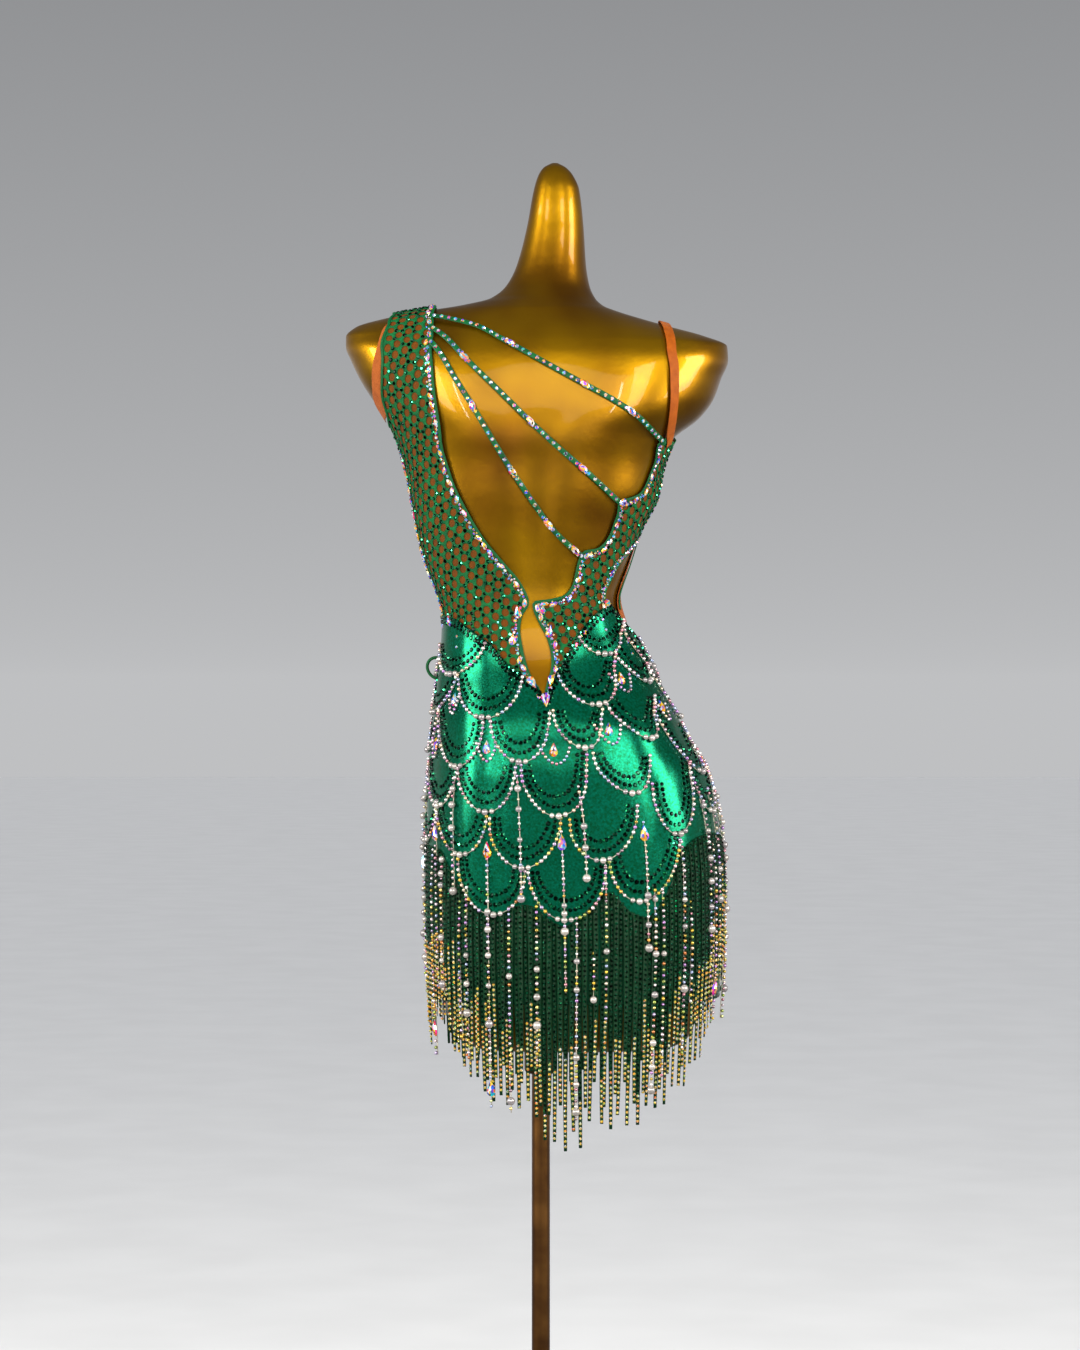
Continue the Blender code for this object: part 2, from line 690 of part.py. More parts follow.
def build_bodice():
    """Make the net panels, the nude facing of the armhole and the insert of the cut-out."""
    left_ends = shoulder_ribs(False)
    left_ends += [rib_ends(rib, False, SIDE_SEAM_LEFT, SIDE_SEAM_RIGHT) for rib in BACK_LEFT_RIBS]
    left = settle_hem(spread_ribs(left_ends, PANEL_COLUMNS), HEM_REACH)
    wall_on_body("bodice_back_left", left, CLOTH_IN, "net")

    right_ends = [rib_ends(rib, False, SIDE_SEAM_LEFT, SIDE_SEAM_RIGHT - SIDE_SEAM_TURN)
                  for rib in BACK_RIGHT_RIBS]
    wall_on_body("bodice_back_right", spread_ribs(right_ends, PANEL_COLUMNS), CLOTH_IN, "net")

    front_ends = shoulder_ribs(True)
    for rib in FRONT_RIBS:
        right_seam = SIDE_SEAM_RIGHT if rib.inner_height > WAIST_INSERT_EDGES[0].height \
            else CUTOUT_EDGE
        front_ends.append(rib_ends(rib, True, SIDE_SEAM_LEFT - SIDE_SEAM_TURN, right_seam - 360.0))
    front = settle_hem(spread_ribs(front_ends, FRONT_COLUMNS), HEM_REACH)
    wall_on_body("bodice_front", front, CLOTH_IN, "net")

    armhole = spread_ribs([rib_ends(rib, False, 0.0, 0.0) for rib in ARMHOLE_RIBS], 3)
    wall_on_body("armhole_facing", armhole, CLOTH_IN, "nude")


def build_waist_insert():
    """Make the nude insert of the right waist cut-out and the binding on its edge."""
    places = []
    for edge in WAIST_INSERT_EDGES:
        seam = CUTOUT_EDGE - INSERT_TURN
        places.append([(edge.back_angle + (seam - edge.back_angle) * share, edge.height)
                       for share in (0.0, 0.5, 1.0)])
    wall_on_body("waist_insert", places, CLOTH_IN, "nude")
    path = [(edge.back_angle + BINDING_INSET, edge.height) for edge in WAIST_INSERT_EDGES[:-1]]
    add_band("waist_binding", path, BINDING_WIDTH, [LAPPED_IN - 0.2] * len(path), CLOTH_WALL,
             "binding")


# ---------------------------------------------------------------- the straps
def add_band(name, path, width, lifts, wall, finish):
    """Make a flat band along (angle, height) places, lying over the body."""
    centres = [off_body(angle, height, lift) for (angle, height), lift in zip(path, lifts)]
    inner, outer = [], []
    for index, (angle, height) in enumerate(path):
        ahead = centres[min(index + 1, len(path) - 1)]
        behind = centres[max(index - 1, 0)]
        normal = body_normal(angle, height)
        side = normal.cross(ahead - behind).normalized() * (width / 2.0)
        normal = (ahead - behind).cross(side).normalized()
        normal = normal if normal.dot(body_normal(angle, height)) > 0.0 else -normal
        centre = centres[index]
        inner.append([centre - side, centre + side])
        outer.append([centre - side + wall * normal, centre + side + wall * normal])
    return add_wall(name, inner, outer, finish)


def smooth_stops(stops, steps):
    """Return evenly spread points on a smooth curve through the stops of a strap."""
    keys = list(range(len(stops)))
    xs = [stop.x for stop in stops]
    heights = [stop.height for stop in stops]
    return [(curve_value(keys, xs, step * keys[-1] / steps),
             curve_value(keys, heights, step * keys[-1] / steps)) for step in range(steps + 1)]


def build_straps():
    """Make the three thin straps over the back and the nude strap over the shoulder."""
    steps = STRAP_STEPS
    for name, stops in THIN_STRAPS.items():
        path = [(angle_for(x, height), height) for x, height in smooth_stops(stops, steps)]
        lifts = []
        for step, (_, height) in enumerate(path):
            free = max(min(step, steps - step) - 1, 0)
            lifts.append(max(over_panel(height) - STRAP_DROP * free, STRAP_FREE))
        add_band(name, path, STRAP_WIDTH, lifts, STRAP_WALL, "stones")

    over = []
    for step in range(-NUDE_OVER_STEPS, NUDE_OVER_STEPS + 1):
        angle = 180.0 + NUDE_OVER_TURN * step
        over.append((angle, height_for(NUDE_STRAP_X, angle)))
    back = [(angle_for(stop.x, stop.height), stop.height) for stop in NUDE_BACK]
    front = [(angle_for(stop.x, stop.height, True) + 360.0, stop.height) for stop in NUDE_FRONT]
    path = back + over + front
    lifts = []
    for step, (_, height) in enumerate(path):
        from_end = min(step, len(path) - 1 - step)
        lifts.append(over_panel(height) + NUDE_LIFT_OVER.get(from_end, -NUDE_DROP))
    add_band("nude_strap", path, NUDE_WIDTH, lifts, CLOTH_WALL, "nude")


# ---------------------------------------------------------------- the skirt and its trims
def build_skirt():
    """Make the skirt as one tube of cloth, from its shaped rim to the hem."""
    places = []
    for row in range(SKIRT_ROWS + 1):
        share = (row / SKIRT_ROWS) ** SKIRT_CROWDING
        ring = []
        for column in range(SKIRT_COLUMNS):
            angle = 360.0 * column / SKIRT_COLUMNS + SKIRT_TURN
            top = rim_height(angle)
            ring.append((angle, top + (SKIRT_HEM - top) * share))
        places.append(ring)
    wall_on_body("skirt", places, LAPPED_IN, "foil", closed=True, hanging=True)


def build_garlands():
    """Make each garland of beads as one cord that swings from knot to knot."""
    for name, knots in GARLANDS.items():
        places = []
        for here, after in zip(knots[:-1], knots[1:]):
            for step in range(GARLAND_STEPS):
                share = step / GARLAND_STEPS
                level = here.height + (after.height - here.height) * share
                places.append((here.angle + (after.angle - here.angle) * share,
                               level - here.drop * math.sin(math.pi * share)))
        places.append((knots[-1].angle, knots[-1].height))
        add_garland(name, places)


def add_garland(name, places):
    """Make one garland as a four-sided cord along (angle, height) places."""
    half = GARLAND_WIDTH / 2.0
    rings = []
    for index, (angle, height) in enumerate(places):
        ahead = places[min(index + 1, len(places) - 1)]
        behind = places[max(index - 1, 0)]
        normal = body_normal(angle, height, True)
        along = body_point(*ahead, True) - body_point(*behind, True)
        side = normal.cross(along).normalized() * half
        low = off_body(angle, height, GARLAND_IN, True)
        high = off_body(angle, height, GARLAND_IN + GARLAND_HEIGHT, True)
        rings.append([low - side, low + side, high + side * GARLAND_TAPER,
                      high - side * GARLAND_TAPER])
    add_tube(name, rings, "beads")


def add_tube(name, rings, finish):
    """Make a closed tube through rings with the same number of corners."""
    corners = len(rings[0])
    vertices = [point for ring in rings for point in ring]
    faces = [list(range(corners)),
             [(len(rings) - 1) * corners + corner for corner in range(corners)]]
    for index in range(len(rings) - 1):
        for corner in range(corners):
            beside = (corner + 1) % corners
            faces.append([index * corners + corner, index * corners + beside,
                          (index + 1) * corners + beside, (index + 1) * corners + corner])
    return add_object(name, vertices, faces, finish)


def build_hip_loop():
    """Make the small cord loop that stands out at the left hip."""
    centre = off_body(LOOP_ANGLE, LOOP_HEIGHT, LAPPED_IN + CLOTH_WALL + LOOP_CORD + FIT_GAP)
    normal = body_normal(LOOP_ANGLE, LOOP_HEIGHT)
    up = Vector((0.0, 0.0, 1.0))
    rings = []
    beside = normal.cross(up).normalized()
    parts = [2.0 * math.pi * corner / LOOP_SIDES for corner in range(LOOP_SIDES)]
    for step in range(LOOP_STEPS + 1):
        turn = math.pi * (step / LOOP_STEPS - 0.5)
        out = normal * math.cos(turn) + up * math.sin(turn)
        middle = centre + out * LOOP_RADIUS
        rings.append([middle + LOOP_CORD * (math.cos(part) * out + math.sin(part) * beside)
                      for part in parts])
    add_tube("hip_loop", rings, "binding")


# ---------------------------------------------------------------- fringe and bead strings
def add_fringe(name, count, share, lift, wall, steps, free, lengths, finish):
    """Make a comb of strands: a narrow backing round the hips with its strands fused to it.

    The backing is a ring of four-sided cells.  Under every second cell hangs a strand,
    whose sides continue the cell's own corners, so that the whole comb is one body.  The
    strands take the given shares of the full length in turn.
    """
    vertices, faces = [], []
    pitch = 360.0 / count
    edges = []
    for strand in range(count):
        start = pitch * strand
        edges += [start, start + pitch * share]
    total = len(edges)
    for angle in edges:
        root = read_table(FRINGE_FALLS, "angle", "root", (angle + 90.0) % 360.0 - 90.0)
        for height, out in ((root + BACKING_HEIGHT, lift), (root + BACKING_HEIGHT, lift + wall),
                            (root, lift + wall), (root, lift)):
            vertices.append(off_body(angle, height, out, True))
    for index in range(total):
        here, beside = 4 * index, 4 * ((index + 1) % total)
        for corner in (0, 1, 3):
            after = (corner + 1) % 4
            faces.append([here + corner, here + after, beside + after, beside + corner])
        lower = [here + 3, here + 2, beside + 2, beside + 3]
        if index % 2:
            faces.append(lower)
            continue
        middle = (edges[index] + edges[index + 1]) / 2.0
        tip = read_table(FRINGE_FALLS, "angle", "tip", (middle + 90.0) % 360.0 - 90.0)
        ring = lower
        top = min(vertices[corner].z for corner in lower)
        end = top + (tip - top) * lengths[index // 2 % len(lengths)]
        for step in range(1, steps + 1):
            height = top + (end - top) * step / steps
            first = len(vertices)
            low, high = lift + free, lift + free + wall
            for angle, out in ((edges[index], low), (edges[index], high),
                               (edges[index + 1], high), (edges[index + 1], low)):
                vertices.append(off_body(angle, height, out, True))
            below = [first, first + 1, first + 2, first + 3]
            for corner in range(4):
                beside_corner = (corner + 1) % 4
                faces.append([ring[corner], ring[beside_corner],
                              below[beside_corner], below[corner]])
            ring = below
        faces.append(ring)
    return add_object(name, vertices, faces, finish)


def build_fringe():
    """Make the stoned fringe and the bead strings that hang over it."""
    strip_lift = TRIM_IN
    add_fringe("fringe_strips", STRIP_COUNT, STRIP_SHARE, strip_lift, STRIP_WALL, STRIP_STEPS,
               FREE_HANG, STRIP_LENGTHS, "stones")
    string_lift = strip_lift + STRIP_WALL + TRIM_GAP
    add_fringe("bead_strings", STRING_COUNT, STRING_SHARE, string_lift, STRING_WALL,
               STRING_STEPS, 2.0 * FREE_HANG, STRING_LENGTHS, "beads")


# ---------------------------------------------------------------- the whole object
def main():
    """Clear the scene and build every piece."""
    for obj in list(bpy.data.objects):
        bpy.data.objects.remove(obj, do_unlink=True)
    build_stand()
    build_form()
    build_skirt()
    build_bodice()
    build_waist_insert()
    build_straps()
    build_garlands()
    build_hip_loop()
    build_fringe()


main()
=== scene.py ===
"""Looks of a beaded salsa dance dress on a gold dress form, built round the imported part.

Sizes are in millimetres: the back faces +Y, the wearer's left is +X, the floor is at 0.
An angle runs round the body from 0 at the left side over 90 at the back to 180 at the right.
A place is an angle with a height, and heights are those of the worn dress above the floor.
"""
import logging
import math
from collections import namedtuple
from dataclasses import dataclass, field, replace
from enum import Enum
from typing import Any, Callable, Sequence

import bpy
import numpy as np
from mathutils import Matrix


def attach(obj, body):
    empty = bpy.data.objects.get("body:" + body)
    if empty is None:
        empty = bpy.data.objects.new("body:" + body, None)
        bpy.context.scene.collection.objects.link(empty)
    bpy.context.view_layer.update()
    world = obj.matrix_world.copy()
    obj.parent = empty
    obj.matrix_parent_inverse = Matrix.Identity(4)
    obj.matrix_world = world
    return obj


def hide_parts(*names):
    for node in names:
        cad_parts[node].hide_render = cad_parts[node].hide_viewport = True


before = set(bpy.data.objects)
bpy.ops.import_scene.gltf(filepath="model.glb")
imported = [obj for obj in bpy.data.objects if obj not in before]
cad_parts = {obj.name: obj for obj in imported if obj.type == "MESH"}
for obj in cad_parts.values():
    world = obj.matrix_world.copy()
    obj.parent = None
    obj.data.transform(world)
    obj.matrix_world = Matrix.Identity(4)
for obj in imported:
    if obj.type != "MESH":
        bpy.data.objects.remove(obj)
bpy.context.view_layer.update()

LOG = logging.getLogger("dress")
MM = 0.001
ROOT = "root"
HALVINGS = 30

# ------------ the form's sections
Section = namedtuple("Section", "height left right back front spine square")
FORM_SECTIONS = [Section(*row) for row in (
    (1588, -13, -21, 4, 4, -17, 2.0), (1583, -4, -30, 13, 13, -17, 2.0),
    (1574, 2, -38, 19, 19, -17, 2.0), (1558, 7, -45, 24, 24, -17, 2.0),
    (1515, 15, -50, 30, 29, -17, 2.0), (1470, 27, -53, 38, 36, -14, 2.0),
    (1447, 39, -57, 46, 42, -12, 1.9), (1432, 58, -64, 55, 47, -11, 1.95),
    (1423, 95, -74, 62, 49, -10, 2.0), (1416, 140, -92, 68, 52, -9, 2.0),
    (1408, 182, -118, 73, 55, -8, 2.05), (1399, 212, -150, 79, 59, -8, 2.1),
    (1388, 223, -190, 86, 64, -6, 2.2), (1377, 223, -215, 92, 69, -5, 2.35),
    (1361, 217, -216, 98, 75, -4, 2.5), (1340, 207, -208, 102, 81, -2, 2.55),
    (1316, 192, -199, 105, 88, 0, 2.5), (1295, 176, -183, 107, 93, 1, 2.5),
    (1270, 162, -152, 108, 98, 3, 2.4), (1240, 153, -140, 105, 101, 4, 2.3),
    (1205, 146, -133, 101, 100, 4, 2.25), (1167, 139, -114, 94, 95, 5, 2.2),
    (1125, 128, -99, 85, 88, 6, 2.2), (1090, 114, -90, 79, 85, 5, 2.2),
    (1060, 108, -97, 78, 86, 3, 2.2), (1029, 109, -114, 81, 90, 0, 2.2),
    (980, 115, -138, 92, 96, -7, 2.2), (925, 120, -166, 103, 100, -17, 2.2),
    (880, 122, -188, 104, 100, -26, 2.25), (830, 122, -197, 98, 94, -32, 2.3),
    (780, 119, -195, 92, 90, -35, 2.3), (720, 116, -192, 88, 87, -36, 2.3),
    (660, 112, -187, 86, 84, -37, 2.3), (610, 106, -180, 83, 81, -37, 2.35),
    (586, 96, -171, 76, 74, -37, 2.4), (573, 74, -150, 58, 56, -37, 2.4),
    (569, 34, -104, 28, 28, -36, 2.3),
)]
HANG_FROM = 925.0
HANG_SECTIONS = [Section(*row) for row in (
    (925, 120, -166, 103, 100, -17, 2.2), (880, 124, -190, 108, 101, -26, 2.25),
    (830, 125, -200, 108, 99, -32, 2.3), (770, 124, -204, 107, 97, -35, 2.3),
    (700, 123, -204, 105, 95, -36, 2.3), (630, 121, -201, 102, 93, -36, 2.3),
    (560, 118, -197, 99, 91, -36, 2.3), (440, 113, -190, 95, 88, -36, 2.3),
)]
Swelling = namedtuple("Swelling", "angle height spread rise amount ease")
SWELLINGS = [Swelling(*row) for row in (
    (90, 1205, 9, 105, -7.0, 0.0), (61, 1310, 17, 48, 5.0, 0.0), (119, 1310, 17, 48, 5.0, 0.0),
    (60, 925, 27, 62, 13.0, 0.0), (121, 925, 27, 62, 15.0, 0.0), (-57, 1262, 25, 48, 16.0, 3.5),
    (-123, 1262, 25, 48, 16.0, 3.5),
)]

# ------------ layers, outward from the form
CLOTH_IN = 1.8
CLOTH_OUT = 3.0
SKIRT_IN = 3.7
SKIRT_OUT = 4.9
CHEST_EASE = 0.9  # more room round the chest and arms, from a height and over a rise
CHEST_EASE_FROM = 1225.0
CHEST_EASE_RISE = 40.0
TRIM_GAP = 0.7
SHOULDER_FROM = 1376.0  # above it, a place is found from a point in plan
SEAM_LAP = 6.0  # how far the bodice goes below the skirt's edge

# ------------ edges of the cloth
Rim = namedtuple("Rim", "angle height")
Stop = namedtuple("Stop", "x height")
RIM_FRONT = [Rim(*row) for row in (
    (-92, 1012), (-60, 1022), (-30, 1050), (0, 1070), (172, 1049), (180, 1046), (210, 1036),
    (240, 1020), (268, 1012),
)]
RIM_BACK = [Stop(*row) for row in (
    (95, 1065), (75, 1050), (53, 1033), (35, 1010), (18, 998), (6, 990), (-6, 974), (-14, 994),
    (-24, 1010), (-35, 1032), (-46, 1051), (-58, 1066), (-69, 1076), (-75, 1081), (-84, 1070),
    (-95, 1056),
)]
SIDE = 400.0  # an x that stands for a side seam
Rib = namedtuple("Rib", "outer_x outer_height inner_x inner_height")
BACK_LEFT_RIBS = [Rib(*row) for row in (
    (172, 1390, 121, 1398), (176, 1363, 122, 1373), (176, 1340, 121, 1348), (176, 1318, 118, 1318),
    (170, 1296, 113, 1289), (SIDE, 1274, 108, 1253), (SIDE, 1240, 99, 1222), (SIDE, 1204, 80, 1181),
    (SIDE, 1165, 64, 1154), (SIDE, 1135, 44, 1129), (SIDE, 1110, 23, 1103), (SIDE, 1095, 14, 1082),
    (SIDE, 1086, 22, 1066), (SIDE, 1080, 24, 1050), (SIDE, 1075, 21, 1031), (SIDE, 1070, 14, 1006),
    (SIDE, 1066, 3, 988), (SIDE, 1062, -4, 975),
)]
BACK_RIGHT_RIBS = [Rib(*row) for row in (
    (-SIDE, 1268, -139, 1269), (-SIDE, 1252, -131, 1262), (-SIDE, 1236, -128, 1243),
    (-SIDE, 1216, -122, 1226), (-SIDE, 1196, -112, 1206), (-SIDE, 1180, -98, 1199),
    (-SIDE, 1168, -88, 1196), (-SIDE, 1159, -85, 1178), (-107.5, 1152, -80, 1164),
    (-104, 1147, -74, 1152), (-98, 1140, -63, 1142), (-90, 1131, -49, 1139), (-83, 1120, -43, 1127),
    (-77, 1107, -38, 1104), (-72, 1097, -28, 1089), (-71, 1089, -12, 1084), (-73, 1071, 7, 1081),
    (-66, 1063, 5, 1071), (-60, 1058, -2, 1056), (-50, 1043, -10, 1040), (-40, 1025, -14, 1024),
    (-31, 1006, -14, 1006), (-21, 990, -10, 992), (-12, 975, -7, 980),
)]
FRONT_RIBS = [Rib(*row) for row in (
    (172, 1392, 118, 1398), (170, 1368, 112, 1368), (168, 1342, 98, 1342), (163, 1316, 72, 1320),
    (157, 1301, 50, 1309), (154, 1288, 28, 1302), (155, 1279, 10, 1297), (158, 1272, -8, 1294),
    (SIDE, 1262, -30, 1291), (SIDE, 1240, -68, 1290), (SIDE, 1209, -114, 1290),
    (SIDE, 1194, -131, 1290), (SIDE, 1185, -140, 1287), (SIDE, 1178, -148, 1282),
    (SIDE, 1172, -153, 1276), (SIDE, 1168, -SIDE, 1271), (SIDE, 1162, -SIDE, 1262),
    (SIDE, 1151, -SIDE, 1243), (SIDE, 1137, -SIDE, 1213), (SIDE, 1122, -SIDE, 1181),
    (SIDE, 1107, -SIDE, 1148), (SIDE, 1094, -SIDE, 1118), (SIDE, 1083, -SIDE, 1092),
    (SIDE, 1072, -SIDE, 1068), (SIDE, 1062, -SIDE, 1045),
)]
ARMHOLE_RIBS = [Rib(*row) for row in (
    (173, 1394, 170.5, 1398), (181, 1376, 174, 1386), (187, 1352, 177, 1363),
    (188, 1330, 177, 1340), (184, 1308, 177, 1318), (176, 1292, 171.5, 1296),
)]
Edge = namedtuple("Edge", "height back_angle")
WAIST_INSERT_EDGES = [Edge(*row) for row in (
    (1150, 184), (1136, 178), (1120, 173), (1104, 169), (1088, 163), (1074, 160), (1060, 162),
)]
SEAM_LEFT = 3.0  # side seams, as angles
SEAM_RIGHT = 187.0
SEAM_TURN = 0.6
CUTOUT_EDGE = 190.0
SHOULDER_SEAM = 0.8
SHOULDER_STATIONS = 4
SHOULDER_OUTER_X = 166.0
SHOULDER_INNER_X = 120.0

# ------------ straps
THIN_STRAPS = {
    "back_strap_upper": [Stop(*row) for row in (
        (124, 1403), (100, 1399), (70, 1391), (40, 1375), (0, 1353), (-45, 1328), (-85, 1306),
        (-110, 1290), (-127, 1275), (-137, 1264))],
    "back_strap_middle": [Stop(*row) for row in (
        (124, 1391), (106, 1378), (80, 1351), (50, 1322), (10, 1283), (-30, 1247), (-62, 1219),
        (-84, 1199), (-93, 1192))],
    "back_strap_lower": [Stop(*row) for row in (
        (125, 1376), (112, 1361), (96, 1334), (76, 1302), (52, 1262), (30, 1226), (5, 1190),
        (-20, 1158), (-37, 1142), (-50, 1131))],
}
NUDE_BACK = [Stop(*row) for row in (
    (-142, 1263), (-145, 1275), (-148, 1292), (-150, 1318), (-150, 1342), (-147, 1366))]
NUDE_FRONT = [Stop(*row) for row in (
    (-144, 1366), (-143, 1342), (-140, 1318), (-137, 1301), (-134, 1290), (-133, 1281))]

# ------------ rows of scales on the skirt
Scale = namedtuple("Scale", "start start_height low low_height end end_height")


def scale_row(*chains: tuple[float, ...]) -> list[Scale]:
    """Return the scales of chains, each as angle and height of an end, a low, an end and on."""
    return [Scale(*chain[first:first + 6]) for chain in chains
            for first in range(0, len(chain) - 2, 4)]


SCALE_ROWS = (  # from the waist down; a chain ends where another row hides it
    scale_row((-90, 988, -74, 967, -58, 994, -43, 978, -28, 1010, -9, 1000, 8, 1014, 38, 1000,
              61, 1031), (111, 1040, 125, 1021, 147, 1044, 163, 1008, 178, 1018, 194, 988,
              210, 1004, 225, 975, 240, 993, 255, 967, 270, 988)),
    scale_row((-90, 943, -77, 917, -64, 946, -50, 924, -36, 958, -21, 942, -6, 980, 16, 957,
              41, 990, 62, 950, 81, 994), (95, 994, 111, 964, 127, 1006), (127, 1018, 146, 990,
              159, 1000), (159, 998, 177, 950, 193, 972, 206, 938, 220, 956, 233, 924, 245, 946,
              257, 918, 270, 943)),
    scale_row((-90, 894, -76, 868, -62, 898, -48, 877, -34, 912, -20, 897, -6, 936, 9, 914, 24, 950,
              44, 897, 61, 934), (64, 937, 76, 902, 89, 937), (90, 938, 101, 918, 110, 949),
              (111, 955, 128, 927, 138, 953, 153, 889, 170, 922, 187, 884, 203, 904, 219, 874,
              235, 896, 252, 868, 270, 894)),
    scale_row((-90, 846, -76, 822, -62, 850, -48, 830, -34, 864, -22, 846, -10, 886, 1, 858,
              12, 884, 30, 852, 46, 881, 61, 847, 73, 879), (75, 879, 88, 843, 98, 892), (100, 892,
              112, 868, 121, 888), (119, 858, 130, 823, 143, 886, 155, 845, 170, 872, 187, 834,
              203, 856, 219, 826, 235, 848, 252, 820, 270, 846)),
    scale_row((-90, 800, -76, 778, -62, 804, -48, 785, -34, 816, -21, 800, -8, 838, 10, 812,
              28, 835, 47, 799, 61, 825), (62, 820, 75, 785, 88, 824), (90, 819, 100, 794,
              112, 833), (190, 818, 202, 792, 214, 806, 227, 783, 240, 801, 255, 780, 270, 800)),
    scale_row((46, 774, 61, 733, 75, 760), (76, 772, 88, 727, 100, 768), (101, 790, 114, 749,
              129, 818)),
)
Drop = namedtuple("Drop", "angle height")
SMALL_DROPS = [Drop(*row) for row in (
    (40, 971), (128, 994), (62, 919), (89, 916), (111, 938), (22, 921), (150, 962), (170, 900),
    (200, 950), (232, 944), (262, 936), (-62, 962), (-30, 976), (-48, 882),
)]

# ------------ fringe and bead strings
Fall = namedtuple("Fall", "angle root tip")
FRINGE_FALLS = [Fall(*row) for row in (
    (-90, 764, 520), (-62, 766, 535), (-34, 778, 560), (-8, 798, 640), (12, 800, 575),
    (30, 796, 610), (44, 762, 565), (62, 724, 520), (75, 738, 508), (88, 714, 456), (95, 735, 482),
    (101, 752, 489), (108, 730, 492), (114, 724, 500), (121, 745, 515), (131, 800, 536),
    (142, 812, 566), (154, 815, 612), (168, 812, 660), (186, 782, 640), (212, 766, 590),
    (242, 764, 545), (270, 764, 520),
)]
BeadString = namedtuple("BeadString", "angle root tip pearls drops")
BACK_STRINGS = [BeadString(*row) for row in (
    (0, 868, 654, (867, 838, 812, 802, 754, 727, 703), (783,)),
    (10, 816, 650, (810, 771, 746, 721, 678), ()), (23, 802, 569, (), (599,)),
    (29, 859, 644, (856,), (821,)), (34, 797, 640, (792, 776, 763, 704, 678, 651), ()),
    (44, 884, 757, (872, 854, 828, 757), ()), (47, 746, 593, (), ()),
    (51, 762, 565, (686, 654, 621), ()), (61, 814, 517, (736, 716, 687, 653, 610), (805, 538)),
    (69, 740, 511, (664, 524), ()), (74, 887, 750, (873, 851, 817, 750), ()),
    (79, 742, 562, (672, 641, 609), ()), (88, 826, 644, (743, 734, 714), (814,)),
    (91, 729, 501, (681, 649, 573, 543, 512), ()), (94, 876, 773, (832, 808, 773), ()),
    (96, 690, 638, (638,), ()), (100, 788, 616, (692,), ()),
    (114, 836, 695, (754, 721, 695), (824,)), (117, 760, 536, (750, 689, 643, 589, 562, 536), ()),
    (120, 757, 548, (689,), ()), (129, 820, 571, (749, 719, 649), ()), (133, 746, 633, (), ()),
    (147, 862, 655, (853, 824, 793, 767, 738, 713), ()), (153, 808, 606, (), (646,)),
    (158, 870, 678, (780, 746), ()), (172, 881, 633, (861, 832, 806, 791, 765, 733), ()),
    (181, 862, 606, (846, 806, 752, 700, 640), ()),
)]


# ------------ curves and the body's surface
class Curve:
    """A smooth curve through a table of keys and values that never overshoots them."""

    def __init__(self, keys: Sequence[float], values: Sequence[float]) -> None:
        """Sort the table by its keys and work out a slope at each.

        Args:
            keys: Where the values hold, in any order.
            values: One value for each key.
        """
        order = np.argsort(keys)
        self.keys = np.asarray(keys, float)[order]
        self.values = np.asarray(values, float)[order]
        steps = np.diff(self.values) / np.diff(self.keys)
        before, after = steps[:-1], steps[1:]
        total = np.where(before * after > 0.0, before + after, 1.0)
        middle = np.where(before * after > 0.0, 2.0 * before * after / total, 0.0)
        self.slopes = np.concatenate([steps[:1], middle, steps[-1:]])

    def __call__(self, key: np.ndarray) -> np.ndarray:
        """Read the curve, which is held level beyond its ends.

        Args:
            key: One or more keys.

        Returns:
            The values there.
        """
        key = np.clip(np.asarray(key, float), self.keys[0], self.keys[-1])
        index = np.clip(np.searchsorted(self.keys, key) - 1, 0, len(self.keys) - 2)
        span = self.keys[index + 1] - self.keys[index]
        share = (key - self.keys[index]) / span
        return ((2 * share ** 3 - 3 * share ** 2 + 1) * self.values[index]
                + (share ** 3 - 2 * share ** 2 + share) * self.slopes[index] * span
                + (3 * share ** 2 - 2 * share ** 3) * self.values[index + 1]
                + (share ** 3 - share ** 2) * self.slopes[index + 1] * span)


def halved(shape: tuple[int, ...], low: float, high: float,
           too_low: Callable[[np.ndarray], np.ndarray]) -> np.ndarray:
    """Find values between two ends by halving.

    Args:
        shape: The shape of the result.
        low: The lower end.
        high: The upper end.
        too_low: Tells which of the tried values are too low.

    Returns:
        The values where the answer changes.
    """
    lows, highs = np.full(shape, low), np.full(shape, high)
    for _ in range(HALVINGS):
        middle = (lows + highs) / 2.0
        short = too_low(middle)
        lows, highs = np.where(short, middle, lows), np.where(short, highs, middle)
    return (lows + highs) / 2.0


